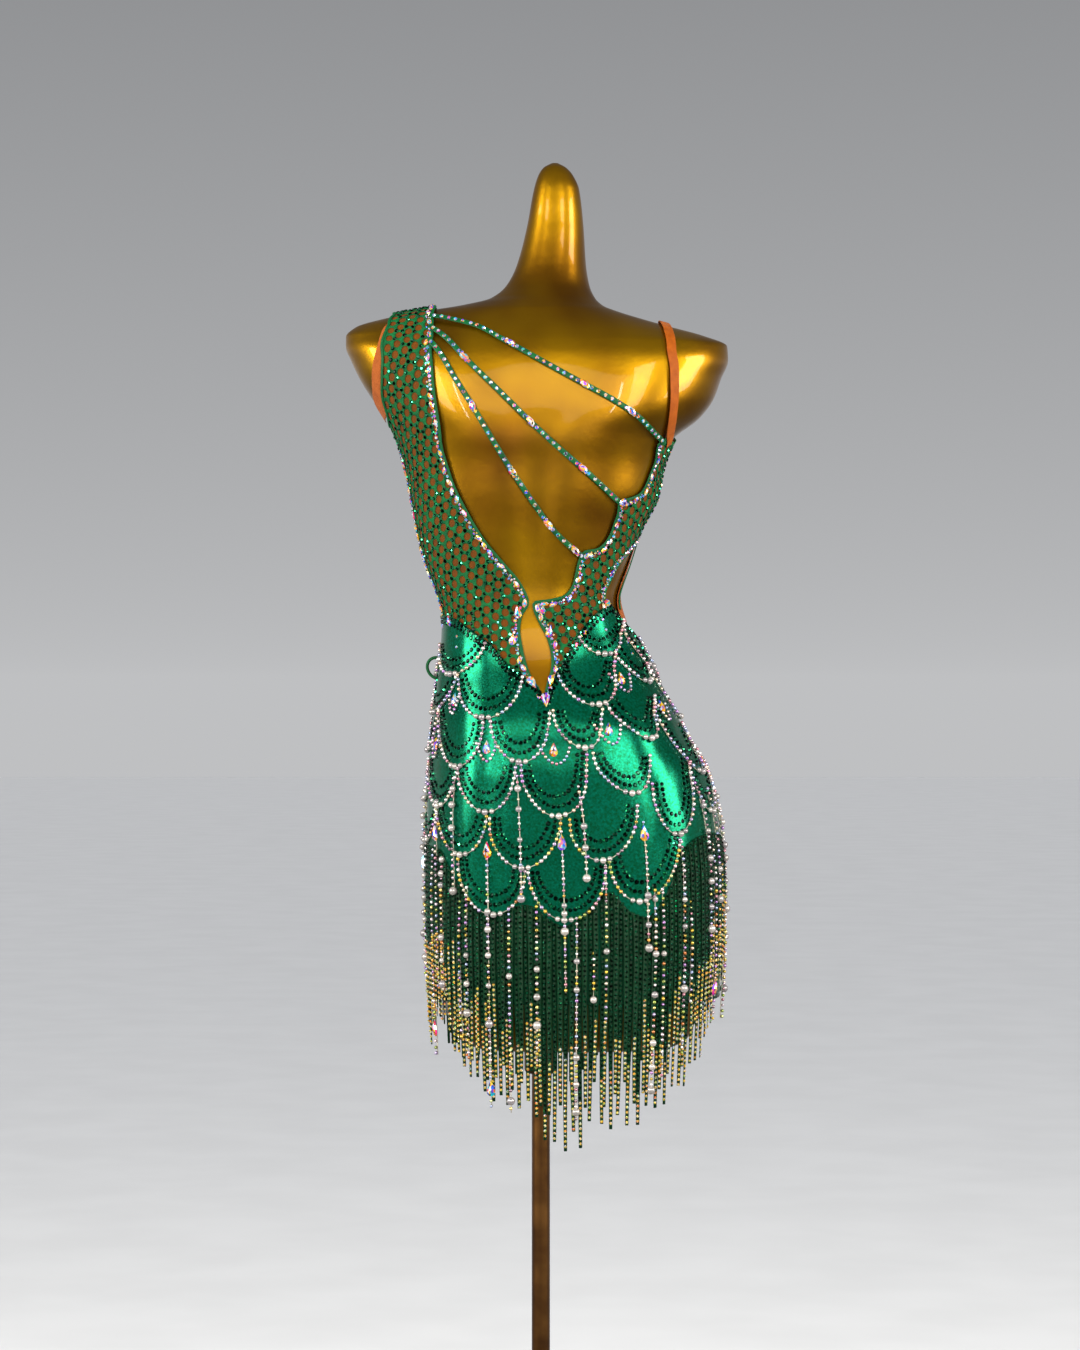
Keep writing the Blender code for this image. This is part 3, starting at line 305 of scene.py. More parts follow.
class Body:
    """The surface of the dress form, and of the cloth that hangs straight from its seat."""

    STEP = 0.5
    ARM_TOP = 1432.0
    SHOULDER_RANGE = (1360.0, 1436.0)

    def __init__(self) -> None:
        """Tabulate both sets of sections finely, so that places are read off quickly."""
        self.tables = {}
        for hanging, rows in ((False, FORM_SECTIONS), (True, HANG_SECTIONS)):
            heights = [row.height for row in rows]
            fine = np.arange(min(heights), max(heights) + self.STEP, self.STEP)
            columns = [Curve(heights, [getattr(row, name) for row in rows])(fine)
                       for name in Section._fields[1:]]
            self.tables[hanging] = (fine, columns)

    def sections(self, height: np.ndarray, hanging: bool) -> list[np.ndarray]:
        """Return left, right, back, front, spine and square.

        Args:
            height: Heights above the floor.
            hanging: Whether cloth hangs straight below the seat.

        Returns:
            Each measure at each height.
        """
        fine, columns = self.tables[False]
        found = [np.interp(height, fine, column) for column in columns]
        if hanging:
            fine, columns = self.tables[True]
            below = height < HANG_FROM
            found = [np.where(below, np.interp(height, fine, column), own)
                     for own, column in zip(found, columns)]
        return found

    def point(self, angle: np.ndarray, height: np.ndarray, hanging: bool = False,
              bare: bool = False) -> np.ndarray:
        """Return the points of the surface.

        Args:
            angle: Angles round the body, in degrees.
            height: Heights above the floor.
            hanging: Whether cloth hangs straight below the seat.
            bare: Whether the bust is that of the bare form, without the dress's ease.

        Returns:
            An (n, 3) array in millimetres.
        """
        angle, height = np.broadcast_arrays(np.asarray(angle, float), np.asarray(height, float))
        left, right, back, front, spine, square = self.sections(height, hanging)
        turn = np.radians(angle)
        cos, sin = np.cos(turn), np.sin(turn)
        across, along = rounded(cos, 2.0 / square), rounded(sin, 2.0 / square)
        half = np.where(across > 0.0, left - spine, spine - right)
        depth = np.where(along > 0.0, back, front)
        level = np.where(height < HANG_FROM, HANG_FROM, height) if hanging else height
        swell = np.zeros_like(height)
        for row in SWELLINGS:
            reach = (((angle - row.angle + 180.0) % 360.0 - 180.0) / row.spread) ** 2
            reach = reach + ((level - row.height) / row.rise) ** 2
            swell = swell + (row.amount - (row.ease if bare else 0.0)) * np.exp(-reach)
        return np.stack([spine + half * across + swell * cos, depth * along + swell * sin,
                         height], axis=-1)

    def normal(self, angle: np.ndarray, height: np.ndarray, hanging: bool = False) -> np.ndarray:
        """Return the outward directions of the surface.

        Args:
            angle: Angles round the body, in degrees.
            height: Heights above the floor.
            hanging: Whether cloth hangs straight below the seat.

        Returns:
            An (n, 3) array of unit vectors.
        """
        around = self.point(angle + 1.5, height, hanging) - self.point(angle - 1.5, height, hanging)
        up = self.point(angle, height + 2.0, hanging) - self.point(angle, height - 2.0, hanging)
        return unit(np.cross(around, up))

    def off(self, places: np.ndarray, out: Any, hanging: bool = False) -> np.ndarray:
        """Return the points at a distance outside the surface.

        Args:
            places: An array of angles and heights.
            out: The distance, or one for each place.
            hanging: Whether cloth hangs straight below the seat.

        Returns:
            An array of points in millimetres.
        """
        angle, height = places[..., 0], places[..., 1]
        return (self.point(angle, height, hanging)
                + np.asarray(out, float)[..., None] * self.normal(angle, height, hanging))

    def angle_for(self, x: Any, height: Any, front: bool = False) -> np.ndarray:
        """Find where the back or the front has a given x.

        Args:
            x: The distance towards the wearer's left.
            height: The height above the floor.
            front: Whether the front is meant.

        Returns:
            The angles, in degrees.
        """
        x, height = np.broadcast_arrays(np.asarray(x, float), np.asarray(height, float))
        sign = -1.0 if front else 1.0
        return sign * halved(x.shape, 0.0, 180.0,
                             lambda turn: self.point(sign * turn, height)[..., 0] > x)

    def places_for(self, rows: Any, front: bool = False) -> np.ndarray:
        """Return the places of an (n, 2) table of x and height on the back or the front."""
        table = np.asarray(rows, float)
        return np.stack([self.angle_for(table[:, 0], table[:, 1], front), table[:, 1]], -1)

    def height_for(self, x: Any, angle: Any) -> np.ndarray:
        """Find where a shoulder has a given x.

        Args:
            x: The distance towards the wearer's left.
            angle: The angle round the body, in degrees.

        Returns:
            The heights.
        """
        x, angle = np.broadcast_arrays(np.asarray(x, float), np.asarray(angle, float))
        return halved(x.shape, SHOULDER_FROM, self.ARM_TOP,
                      lambda height: np.abs(self.point(angle, height)[..., 0]) > np.abs(x))

    def over_shoulder(self, x: np.ndarray, y: np.ndarray) -> np.ndarray:
        """Find the places on a shoulder straight above points in plan.

        Args:
            x: Distances towards the wearer's left.
            y: Distances towards the back.

        Returns:
            An (n, 2) array of angles and heights.
        """
        def shares(height: np.ndarray) -> tuple[np.ndarray, np.ndarray, np.ndarray]:
            """Read the section at a height.

            Args:
                height: The tried height of each point.

            Returns:
                How far out a point lies across and along, and the section's square.
            """
            left, right, back, front, spine, square = self.sections(height, False)
            return ((x - spine) / np.where(x > spine, left - spine, spine - right),
                    y / np.where(y > 0.0, back, front), square)

        def within(height: np.ndarray) -> np.ndarray:
            """Tell which points lie within the section at a height."""
            across, along, square = shares(height)
            return (np.abs(across) ** square + np.abs(along) ** square) < 1.0

        height = halved(x.shape, *self.SHOULDER_RANGE, within)
        across, along, square = shares(height)
        angle = np.arctan2(rounded(along, square / 2.0), rounded(across, square / 2.0))
        return np.stack([np.degrees(angle), height], axis=-1)


def rounded(share: np.ndarray, power: Any) -> np.ndarray:
    """Return a power of a share, with the share's sign."""
    return np.sign(share) * np.abs(share) ** power


def unit(vectors: np.ndarray) -> np.ndarray:
    """Return the vectors at length 1."""
    return vectors / np.maximum(np.linalg.norm(vectors, axis=-1, keepdims=True), 1e-9)


def chest_ease(height: np.ndarray) -> np.ndarray:
    """Return how much further the cloth stands off the body round the chest and arms."""
    return CHEST_EASE * np.clip((height - CHEST_EASE_FROM) / CHEST_EASE_RISE, 0.0, 1.0)


def over_panel(height: np.ndarray) -> np.ndarray:
    """Return the lift of a strap that is sewn onto a panel of the bodice."""
    return CLOTH_OUT + TRIM_GAP + chest_ease(height)


def smooth_stops(stops: Any, steps: int) -> np.ndarray:
    """Draw a smooth curve through stops.

    Args:
        stops: An (n, k) table.
        steps: How many steps the curve has.

    Returns:
        Evenly spread points on it.
    """
    stops = np.asarray(stops, float)
    keys = np.arange(len(stops))
    fine = np.linspace(0.0, keys[-1], steps + 1)
    return np.stack([Curve(keys, column)(fine) for column in stops.T], -1)


BODY = Body()


# ------------ colours
def linear(code: str) -> tuple[float, float, float]:
    """Turn an sRGB hex colour such as 0E7A48 to linear light.

    Args:
        code: Six hex digits.

    Returns:
        Red, green and blue from 0 to 1.
    """
    parts = [int(code[index:index + 2], 16) / 255.0 for index in (0, 2, 4)]
    return tuple(part / 12.92 if part <= 0.04045 else ((part + 0.055) / 1.055) ** 2.4
                 for part in parts)


class Tints:
    """Colours that small stones and their facets take at random, the same at each run; some are
    painted glints and painted dark reflections.
    """

    # The next three lists colour clear coated glass: the coat's rainbow colours, mixed with whites,
    # silvers and near-blacks that are painted highlights and painted dark reflections, stone by
    # stone and facet by facet.
    AURORA_AND_GLINTS = ("B8BCC8", "8C98B8", "E8ECF4", "CC9028", "C4681C", "3C98CC", "5C4CC4", "C4487E",
              "7C8290", "6CB898", "A8945C", "4C5468")
    FLASH = ("FFFFFF", "E4E8F0", "FFC93C", "FF8A2A", "34C0FF", "2F7BFF", "9A4CFF", "FF4C9C",
             "2CDDA8", "1A202C", "2E1E3A", "FFD84A", "6C7888", "A8B4C4")
    VIVID = ("FFB000", "FFC62E", "FF7A0E", "FF2E88", "8A3CFF", "1E6BFF", "0CC8E6", "FFFFFF",
             "FFE04A", "121A32", "E0F0FF")
    BLUSH = ("F2DAE0", "CDB4C0", "B8A6CC", "E2C2AC", "C88898", "A8B4D8", "F6ECEE", "8E7480",
             "DACAD2", "B888C8", "DECCB6", "FFFAFA")
    GOLDEN = ("E8C04C", "D9B23E", "B89A3A", "FFE08A", "9FAE4C", "E0A64E", "D8E0A0", "C8783E",
              "8E9A4E")
    # Facets of the golden stones: a gilt coat's colours, with white and dark brown tints that are
    # painted glints and painted dark reflections.
    GILT_AND_GLINTS = ("FFF3C0", "FFD84A", "E6EE7A", "FFAA34", "FFFFFF", "8CC87A", "403014", "F4C848",
            "FF6A4A", "A8C4F4")
    FOREST = ("012214", "00160C", "033822", "000C06", "022A18", "000804", "055C38")
    EMERALD = ("012014", "00140B", "032A1A", "000A05", "012218", "000604", "03462C")
    # Facets of the dark stones: near-black tints that are painted shade on their sides, and two
    # bright greens that are painted glints.
    GLINT = ("000A06", "010E08", "1C9A6A", "000604", "011A10", "000A06", "58DCA8")
    PEARL = ("B4ACA8", "A49E9A", "C2BAB4", "9A9496")

    def __init__(self, seed: int) -> None:
        """Start the draw from a seed."""
        self.random = np.random.default_rng(seed)

    @staticmethod
    def table(codes: Sequence[str]) -> np.ndarray:
        """Return a list of hex colours as linear ones."""
        return np.array([linear(code) for code in codes])

    def draw(self, codes: Sequence[str], count: int) -> np.ndarray:
        """Return a number of linear colours drawn from a list of hex colours."""
        return self.table(codes)[self.random.integers(0, len(codes), count)]


# ------------ small stones and beads
@dataclass(frozen=True, eq=False)
class StoneShape:
    """A small shape of about unit size: half length along x, half width along y, height z.

    The colours given to single facets, a coat's colours with painted glints and painted dark
    reflections among them, reach the last group of faces, the top, only by a share.
    """

    points: np.ndarray
    faces: tuple[np.ndarray, ...]
    top_coat_and_glints: float = 1.0


def grid_faces(rows: int, columns: int, closed: bool = False) -> np.ndarray:
    """Return the four-cornered faces of a grid of points.

    Args:
        rows: How many rows of points.
        columns: How many points in a row.
        closed: Whether the last column joins the first.

    Returns:
        An (m, 4) array of corners.
    """
    here, row = np.meshgrid(np.arange(columns if closed else columns - 1), np.arange(rows - 1))
    beside = (here + 1) % columns
    return np.stack([row * columns + here, row * columns + beside, (row + 1) * columns + beside,
                     (row + 1) * columns + here], axis=-1).reshape(-1, 4)


def cut_stone(outline: np.ndarray, table: float, girdle: float, top_coat_and_glints: float = 1.0,
              crown: bool = False) -> StoneShape:
    """Make a flat-backed faceted stone.

    Args:
        outline: The (n, 2) outline of its widest part.
        table: The share of the outline that the flat top takes.
        girdle: The height of the widest part, as a share of the whole height.
        top_coat_and_glints: How far the facet colours, a coat's colours with painted glints and
            painted dark reflections, reach the flat top.
        crown: Whether a second row of facets lies between the widest part and the top.

    Returns:
        The shape, with its foot at 0 and its top at 1.
    """
    count = len(outline)
    levels = [(0.86, 0.0)] if girdle > 0.0 else []
    levels += [(1.0, girdle)]
    if crown:
        levels += [((1.0 + table) / 2.0 + 0.06, girdle + (1.0 - girdle) * 0.7)]
    levels += [(table, 1.0)]
    rings = [np.c_[outline * wide, np.full(count, level)] for wide, level in levels]
    top = (len(rings) - 1) * count + np.arange(count)[None, :]
    return StoneShape(np.concatenate(rings), (grid_faces(len(rings), count, True), top), top_coat_and_glints)


def ring_outline(count: int, turn: float = 0.0) -> np.ndarray:
    """Return a round outline of a number of corners."""
    angles = 2.0 * np.pi * (np.arange(count) + turn) / count
    return np.stack([np.cos(angles), np.sin(angles)], -1)


def mirrored_outline(half: Sequence[tuple[float, float]]) -> np.ndarray:
    """Return an outline from its half, whose first and last points lie on the middle line."""
    other = [(along, -across) for along, across in half[-2:0:-1]]
    return np.array([*half, *other])


def round_bead(segments: int, rings: int) -> StoneShape:
    """Make a round bead that stands on its foot, one unit in radius.

    Args:
        segments: How many corners it has round.
        rings: How many bands of faces it has from top to foot.

    Returns:
        The shape.
    """
    levels = np.cos(np.pi * np.arange(1, rings) / rings)
    outline = ring_outline(segments)
    points = [np.array([[0.0, 0.0, 2.0]])]
    points += [np.c_[outline * width, np.full(segments, level + 1.0)]
               for level, width in zip(levels, np.sqrt(1.0 - levels ** 2))]
    points.append(np.zeros((1, 3)))
    last = 1 + (rings - 1) * segments
    step = np.arange(segments)
    beside = (step + 1) % segments
    cap = np.stack([np.zeros(segments, int), 1 + step, 1 + beside], -1)
    foot = np.stack([np.full(segments, last), last - segments + beside,
                     last - segments + step], -1)
    sides = grid_faces(rings - 1, segments, True)[:, ::-1] + 1
    return StoneShape(np.concatenate(points), (sides, np.concatenate([cap, foot])))


NAVETTE_HALF = ((1.0, 0.0), (0.62, 0.72), (0.0, 1.0), (-0.62, 0.72), (-1.0, 0.0))
DROP_HALF = ((1.0, 0.0), (0.45, 0.5), (-0.15, 0.92), (-0.62, 1.0), (-0.92, 0.55), (-1.0, 0.0))


class Cut(Enum):
    """The small shapes that are sewn, glued or screwed on."""

    STONE = cut_stone(ring_outline(8, 0.5), 0.56, 0.3)
    # The chaton's sides take most of the painted dark facets and glints, and its top stays nearly
    # in its own colour.
    CHATON = cut_stone(ring_outline(7), 0.5, 0.0, 0.1)
    NAVETTE = cut_stone(mirrored_outline(NAVETTE_HALF), 0.36, 0.2, crown=True)
    DROP = cut_stone(mirrored_outline(DROP_HALF), 0.32, 0.2, crown=True)
    ROUND = cut_stone(ring_outline(12), 0.36, 0.25, crown=True)
    BEAD = round_bead(8, 5)
    PEARL = round_bead(12, 8)
    SCREW = round_bead(16, 8)


# ------------ paths over the body
@dataclass
class Seats:
    """Points with the directions of a line or of small pieces there, and outward normals."""

    points: np.ndarray
    along: np.ndarray
    normal: np.ndarray
    places: np.ndarray | None = None

    @classmethod
    def single(cls, places: np.ndarray, lift: Any, turn: Any, hanging: bool = False) -> "Seats":
        """Seat single pieces on the body or the cloth over it.

        Args:
            places: An (n, 2) array of angles and heights.
            lift: How far they stand off the body, for all or for each.
            turn: Their turn from level in radians, for all or for each.
            hanging: Whether the cloth hangs straight below the seat.

        Returns:
            The seats.
        """
        normal = BODY.normal(places[:, 0], places[:, 1], hanging)
        level = unit(np.cross(np.array([[0.0, 0.0, 1.0]]), normal))
        turn = np.broadcast_to(np.asarray(turn, float), (len(places),))[:, None]
        along = level * np.cos(turn) + np.cross(normal, level) * np.sin(turn)
        return cls(BODY.off(places, lift, hanging), along, normal, places)

    def where(self, chosen: Any) -> "Seats":
        """Return the chosen ones."""
        return Seats(self.points[chosen], self.along[chosen], self.normal[chosen],
                     None if self.places is None else self.places[chosen])

    def moved(self, shift: np.ndarray) -> "Seats":
        """Return them with their points moved."""
        return Seats(self.points + shift, self.along, self.normal, self.places)

    def on_foil(self) -> "Seats":
        """Return them set on the puckered cloth of the skirt."""
        out = foil_pucker(self.places[:, 0], self.places[:, 1])
        return self.moved(self.normal * out[:, None])


class Path:
    """A line over the body, as closely spaced places."""

    def __init__(self, places: np.ndarray, lift: Any, hanging: bool = False) -> None:
        """Keep the places and how far the line stands off the body.

        Args:
            places: An (n, 2) array of angles and heights.
            lift: The distance off the body, or one for each place.
            hanging: Whether cloth hangs straight below the seat.
        """
        self.places = np.asarray(places, float)
        self.lift = np.broadcast_to(np.asarray(lift, float), (len(places),)).copy()
        self.hanging = hanging
        self.points = BODY.off(self.places, self.lift, hanging)
        gaps = np.linalg.norm(np.diff(self.points, axis=0), axis=1)
        self.reach = np.concatenate([[0.0], np.cumsum(gaps)])

    @property
    def length(self) -> float:
        """Return the line's length."""
        return float(self.reach[-1])

    def read(self, reach: np.ndarray, columns: np.ndarray) -> np.ndarray:
        """Return the columns of a table along the line at distances from its start."""
        return np.stack([np.interp(reach, self.reach, column) for column in columns.T], -1)

    def at(self, reach: np.ndarray) -> Seats:
        """Read the line.

        Args:
            reach: Distances from its start.

        Returns:
            Its points, directions, normals and places there.
        """
        places = self.read(reach, self.places)
        along = self.read(reach + 1.5, self.points) - self.read(reach - 1.5, self.points)
        return Seats(self.read(reach, self.points), unit(along),
                     BODY.normal(places[:, 0], places[:, 1], self.hanging), places)

    def evenly(self, count: int) -> Seats:
        """Return evenly spread points of the whole line."""
        return self.at(np.linspace(0.0, self.length, count))

    def beside(self, distance: float) -> "Path":
        """Move the line sideways over the surface.

        Args:
            distance: How far, to the left of its direction.

        Returns:
            The moved line.
        """
        seats = self.at(self.reach)
        angle, height = seats.places.T
        side = np.cross(seats.normal, seats.along)
        here = BODY.point(angle, height, self.hanging)
        turn = BODY.point(angle + 1.0, height, self.hanging) - here
        rise = BODY.point(angle, height + 1.0, self.hanging) - here
        level, steep = np.sum(turn * turn, -1), np.sum(rise * rise, -1)
        shear = np.sum(turn * rise, -1)
        over, up = np.sum(side * turn, -1), np.sum(side * rise, -1)
        det = np.maximum(level * steep - shear ** 2, 1e-9)
        step = np.stack([(over * steep - up * shear) / det, (up * level - over * shear) / det], -1)
        return Path(seats.places + distance * step, self.lift, self.hanging)

# ------------ finishes
def add_node(tree: bpy.types.NodeTree, kind: str, inputs: dict[Any, Any] | None = None,
             stops: Sequence[tuple[float, str]] = (), **settings: Any) -> bpy.types.Node:
    """Add a node to a tree.

    Args:
        tree: The material's or world's nodes.
        kind: The node's type.
        inputs: For each input, another node's output to link or a value to set.
        stops: The places and sRGB hex colours of a colour ramp.
        settings: The node's own settings.

    Returns:
        The new node.
    """
    node = tree.nodes.new(kind)
    for name, value in settings.items():
        setattr(node, name, value)
    for name, value in (inputs or {}).items():
        if isinstance(value, bpy.types.NodeSocket):
            tree.links.new(value, node.inputs[name])
        else:
            node.inputs[name].default_value = value
    for index, (place, code) in enumerate(stops):
        node.color_ramp.elements[index].position = place
        node.color_ramp.elements[index].color = (*linear(code), 1.0)
    return node


class Smoothing(Enum):
    """How a piece's faces are shaded."""

    SMOOTH = "smooth"
    FACETED = "faceted"
    CREASED = "creased"


@dataclass(frozen=True)
class Grain:
    """A pattern of a surface: soft patches, or even ridges across one or two directions.

    size is the width of a patch or the pitch of the ridges in millimetres, and depth is that
    of the relief that it gives.  Ridges across two directions leave a grid of pits.
    """

    size: float
    detail: float = 2.0
    ridges: tuple[str, ...] = ()
    depth: float = 0.0
    drawn: tuple[float, float, float] = (1.0, 1.0, 1.0)

    RIDGE_SCALE = 0.314  # metres from ridge to ridge at a wave scale of 1

    def share(self, tree: bpy.types.NodeTree, place: bpy.types.NodeSocket) -> bpy.types.NodeSocket:
        """Add the pattern to a material.

        Args:
            tree: The material's nodes.
            place: The place on the piece, in metres.

        Returns:
            The pattern's value, from 0 to 1.
        """
        if self.drawn != (1.0, 1.0, 1.0):
            place = add_node(tree, "ShaderNodeMapping", {
                "Vector": place, "Scale": self.drawn}).outputs["Vector"]
        if not self.ridges:
            return add_node(tree, "ShaderNodeTexNoise", {
                "Vector": place, "Scale": 1.0 / (self.size * MM), "Detail": self.detail,
                "Roughness": 0.55}).outputs["Fac"]
        waves = [add_node(tree, "ShaderNodeTexWave", {
            "Vector": place, "Scale": self.RIDGE_SCALE / (self.size * MM), "Distortion": 0.6,
            "Detail": 1.0}, wave_type="BANDS", bands_direction=direction,
            wave_profile="SIN").outputs["Fac"] for direction in self.ridges]
        if len(waves) == 1:
            return waves[0]
        return add_node(tree, "ShaderNodeMath", dict(enumerate(waves)),
                        operation="MULTIPLY").outputs[0]


@dataclass(frozen=True)
class Finish:
    """A material of the real dress or its form, with the record's slot that it belongs to.

    dark and light are sRGB hex colours, between which the first grain of patches goes.  A
    finish without them takes each small piece's own tint.  weave adds its share to those
    patches.  rough gives the ends of the roughness over the gloss grain, and relief is listed
    from the deepest layer up.
    """

    name: str
    slot: str
    gloss: Grain
    rough: tuple[float, float]
    dark: str = ""
    light: str = ""
    patches: Grain | None = None
    weave: Grain | None = None
    ends: tuple[float, float] = (0.3, 0.7)
    relief: tuple[Grain, ...] = ()
    metallic: float = 0.0
    specular: float = 0.5
    coat: float = 0.0
    coat_rough: float = 0.03
    sheen: float = 0.0
    sheen_rough: float = 0.5
    sheen_tint: str = "FFFFFF"
    smoothing: Smoothing = Smoothing.SMOOTH

    def build(self) -> bpy.types.Material:
        """Make the material, once.

        Returns:
            The material.
        """
        if self.name in bpy.data.materials:
            return bpy.data.materials[self.name]
        material = bpy.data.materials.new(self.name)
        material.use_nodes = True
        tree = material.node_tree
        tree.nodes.clear()
        output = add_node(tree, "ShaderNodeOutputMaterial")
        place = add_node(tree, "ShaderNodeTexCoord").outputs["Object"]
        inputs = {
            "Base Color": self.colour(tree, place),
            "Roughness": add_node(tree, "ShaderNodeMapRange", {
                "Value": self.gloss.share(tree, place), "To Min": self.rough[0],
                "To Max": self.rough[1]}).outputs["Result"],
            "Metallic": self.metallic, "Specular IOR Level": self.specular,
            "Coat Weight": self.coat, "Coat Roughness": self.coat_rough,
            "Sheen Weight": self.sheen, "Sheen Roughness": self.sheen_rough,
            "Sheen Tint": (*linear(self.sheen_tint), 1.0)}
        for grain in self.relief:
            under = {"Normal": inputs["Normal"]} if "Normal" in inputs else {}
            inputs["Normal"] = add_node(tree, "ShaderNodeBump", {
                "Height": grain.share(tree, place), "Distance": grain.depth * MM,
                "Strength": 1.0, **under}).outputs["Normal"]
        shader = add_node(tree, "ShaderNodeBsdfPrincipled", inputs)
        tree.links.new(shader.outputs["BSDF"], output.inputs["Surface"])
        return material

    def colour(self, tree: bpy.types.NodeTree, place: bpy.types.NodeSocket) -> bpy.types.NodeSocket:
        """Add the nodes of the colour.

        Args:
            tree: The material's nodes.
            place: The place on the piece, in metres.

        Returns:
            The colour.
        """
        if self.patches is None:
            return add_node(tree, "ShaderNodeAttribute", attribute_name="tint").outputs["Color"]
        share = self.patches.share(tree, place)
        if self.weave:
            share = add_node(tree, "ShaderNodeMath", {0: self.weave.share(tree, place), 1: share},
                             operation="ADD").outputs[0]
        low, high = self.ends
        return add_node(tree, "ShaderNodeValToRGB", {"Fac": share},
                        ((low, self.dark), (high, self.light))).outputs["Color"]


def knit(name: str, slot: str, dark: str, light: str, ridge: float, direction: str = "Z",
         rough: float = 0.62, sheen: float = 0.02, depth: float = 0.12,
         sheen_tint: str = "7FE0B0") -> Finish:
    """Return the finish of a plain knit or woven tape: matt, with fine ridges and some fuzz.

    The fuzz is drawn at 0.8 mm and the dye's unevenness at 9 mm, because real fibres of
    0.02 mm would not show.

    Args:
        name: The material's name.
        slot: The record's material slot.
        dark: The darker colour of the uneven dye.
        light: The lighter one.
        ridge: The pitch of the yarn's ridges, about twice the real one so that it shows.
        direction: The direction across which the ridges lie.
        rough: The mean roughness.
        sheen: The weight of the fibres' sheen.
        depth: The depth of a ridge.
        sheen_tint: The colour of the sheen.

    Returns:
        The finish.
    """
    return Finish(name, slot, Grain(0.8, 1.0), (rough - 0.08, rough + 0.08), dark, light,
                  Grain(9.0, 4.0), relief=(Grain(ridge, ridges=(direction,), depth=depth),
                                           Grain(0.8, 1.0, depth=depth * 0.5)),
                  specular=0.2, sheen=sheen, sheen_rough=0.4, sheen_tint=sheen_tint)


def mesh_lining(name: str, dark: str, light: str) -> Finish:
    """Return the finish of nude power mesh, warp knitted with tiny square holes: matt, gridded.

    The holes are drawn at 1.2 mm because real ones are 0.6 mm.

    Args:
        name: The material's name.
        dark: The colour in the holes.
        light: The colour of the yarn.

    Returns:
        The finish.
    """
    holes = Grain(1.2, ridges=("X", "Z"), depth=0.15)
    return Finish(name, "nude_mesh", Grain(14.0, 3.0), (0.68, 0.85), dark, light,
                  Grain(14.0, 3.0), weave=holes, ends=(0.3, 1.0), relief=(holes,),
                  specular=0.15, sheen=0.04)


def cut_glass(name: str, metallic: float, rough: float, coat: float,
              slot: str = "stones", smoothing: Smoothing = Smoothing.FACETED) -> Finish:
    """Return the finish of foil-backed glass, with polish marks drawn at 0.7 mm to show."""
    return Finish(name, slot, Grain(0.7, 1.0), (rough, rough + 0.06), metallic=metallic,
                  coat=coat, smoothing=smoothing)


# Glass-fibre shell under metal powder paint and clear lacquer: deep, cloudy and glossy.
GOLD = Finish("gold_lacquered_glass_fibre", "gold_shell", Grain(1.6, 0.0), (0.3, 0.4),
              "7A4E00", "AE8000", Grain(120.0), relief=(Grain(14.0, depth=0.25),),
              metallic=0.92, coat=0.3, coat_rough=0.05, smoothing=Smoothing.CREASED)
# Bronze-plated steel, drawn or turned: brown metal with faint tool lines, duller in patches.
BRONZE = Finish("bronze_plated_steel", "stand_metal", Grain(45.0, 3.0), (0.24, 0.42),
                "5C3A18", "7A5226", Grain(45.0, 3.0), ends=(0.35, 0.65),
                relief=(Grain(1.4, ridges=("Z",), depth=0.03),), metallic=1.0, coat=0.25,
                coat_rough=0.12, smoothing=Smoothing.CREASED)
TURNED_BRONZE = replace(BRONZE, name="bronze_plated_steel_turned",
                        relief=(Grain(2.2, ridges=("Z",), depth=0.03),))
# Warp-knitted lycra with heat-pressed foil: a bright metal sheen over soft puckers, broken by
# a crackle.  The wales are drawn at 0.9 mm because real ones are 0.4 mm.
FOIL = Finish("foiled_lycra_knit", "foil_lycra", Grain(2.6, 3.0), (0.17, 0.25), "00502A",
              "00745A", Grain(2.6, 3.0),
              relief=(Grain(30.0, 1.0, depth=1.6, drawn=(1.0, 1.0, 0.4)),
                      Grain(0.9, ridges=("X",), depth=0.012)), metallic=0.78, specular=0.25)
# Tuck-knitted polyester: matt and soft, its ridges a faint grain between the holes.
NET = knit("green_hole_net_knit", "green_net", "004422", "026430", 1.1, depth=0.2)
# Nude nylon power mesh: skin-brown and matt, darker where it is stretched over the gold.
LINING = mesh_lining("nude_power_mesh", "4A2400", "6C3A00")
FACING = mesh_lining("nude_power_mesh_facing", "7A3A12", "A0541E")
# Woven and knitted tapes and thread: satin shines softly across its slant, binding and strips
# are deeper and duller, elastic has a pale fuzz, and beading thread glints along its twist.
SATIN = knit("green_satin_tape", "foil_lycra", "02381C", "035C2E", 0.8, "DIAGONAL", 0.42, 0.05,
             0.05)
BINDING = knit("dark_green_knit_binding", "dark_binding", "024822", "035028", 0.9, rough=0.5,
               sheen=0.05, depth=0.08)
ELASTIC = knit("nude_woven_elastic", "nude_mesh", "843C00", "9E4E04", 1.0, "X", 0.6, 0.1, 0.1,
               "FFC79A")
STRIP = knit("green_lycra_strip", "foil_lycra", "02220E", "033218", 0.9, rough=0.34, sheen=0.04,
             depth=0.06)
THREAD = knit("silver_beading_thread", "beads", "8A847A", "C4BCA8", 0.6, rough=0.35, depth=0.03)
# Machine-cut glass: the dark one hides until a facet flashes, and the coated one breaks light
# into colours.  The coated beads are tumbled round, so theirs is a soft glow.
FOREST_GLASS = cut_glass("dark_green_cut_glass", 0.9, 0.08, 0.05)
AURORA_GLASS = cut_glass("rainbow_coated_cut_glass", 0.5, 0.06, 0.25)
AURORA_BEAD = cut_glass("rainbow_coated_glass_bead", 0.65, 0.14, 1.0, "beads", Smoothing.SMOOTH)
# Glass beads dipped in pearl lacquer: a soft milky gloss, a little uneven from the dipping.
PEARL = Finish("pearl_lacquered_glass", "beads", Grain(4.0, 1.0), (0.2, 0.28), metallic=0.45,
               coat=1.0, coat_rough=0.05)
# Matt painted board: pale and plain, with the barely visible unevenness of a rolled coat.
BOARD = Finish("pale_painted_board", "", Grain(220.0), (0.8, 0.88), "CBCCCE", "CFD0D2",
               Grain(220.0), ends=(0.35, 0.65))


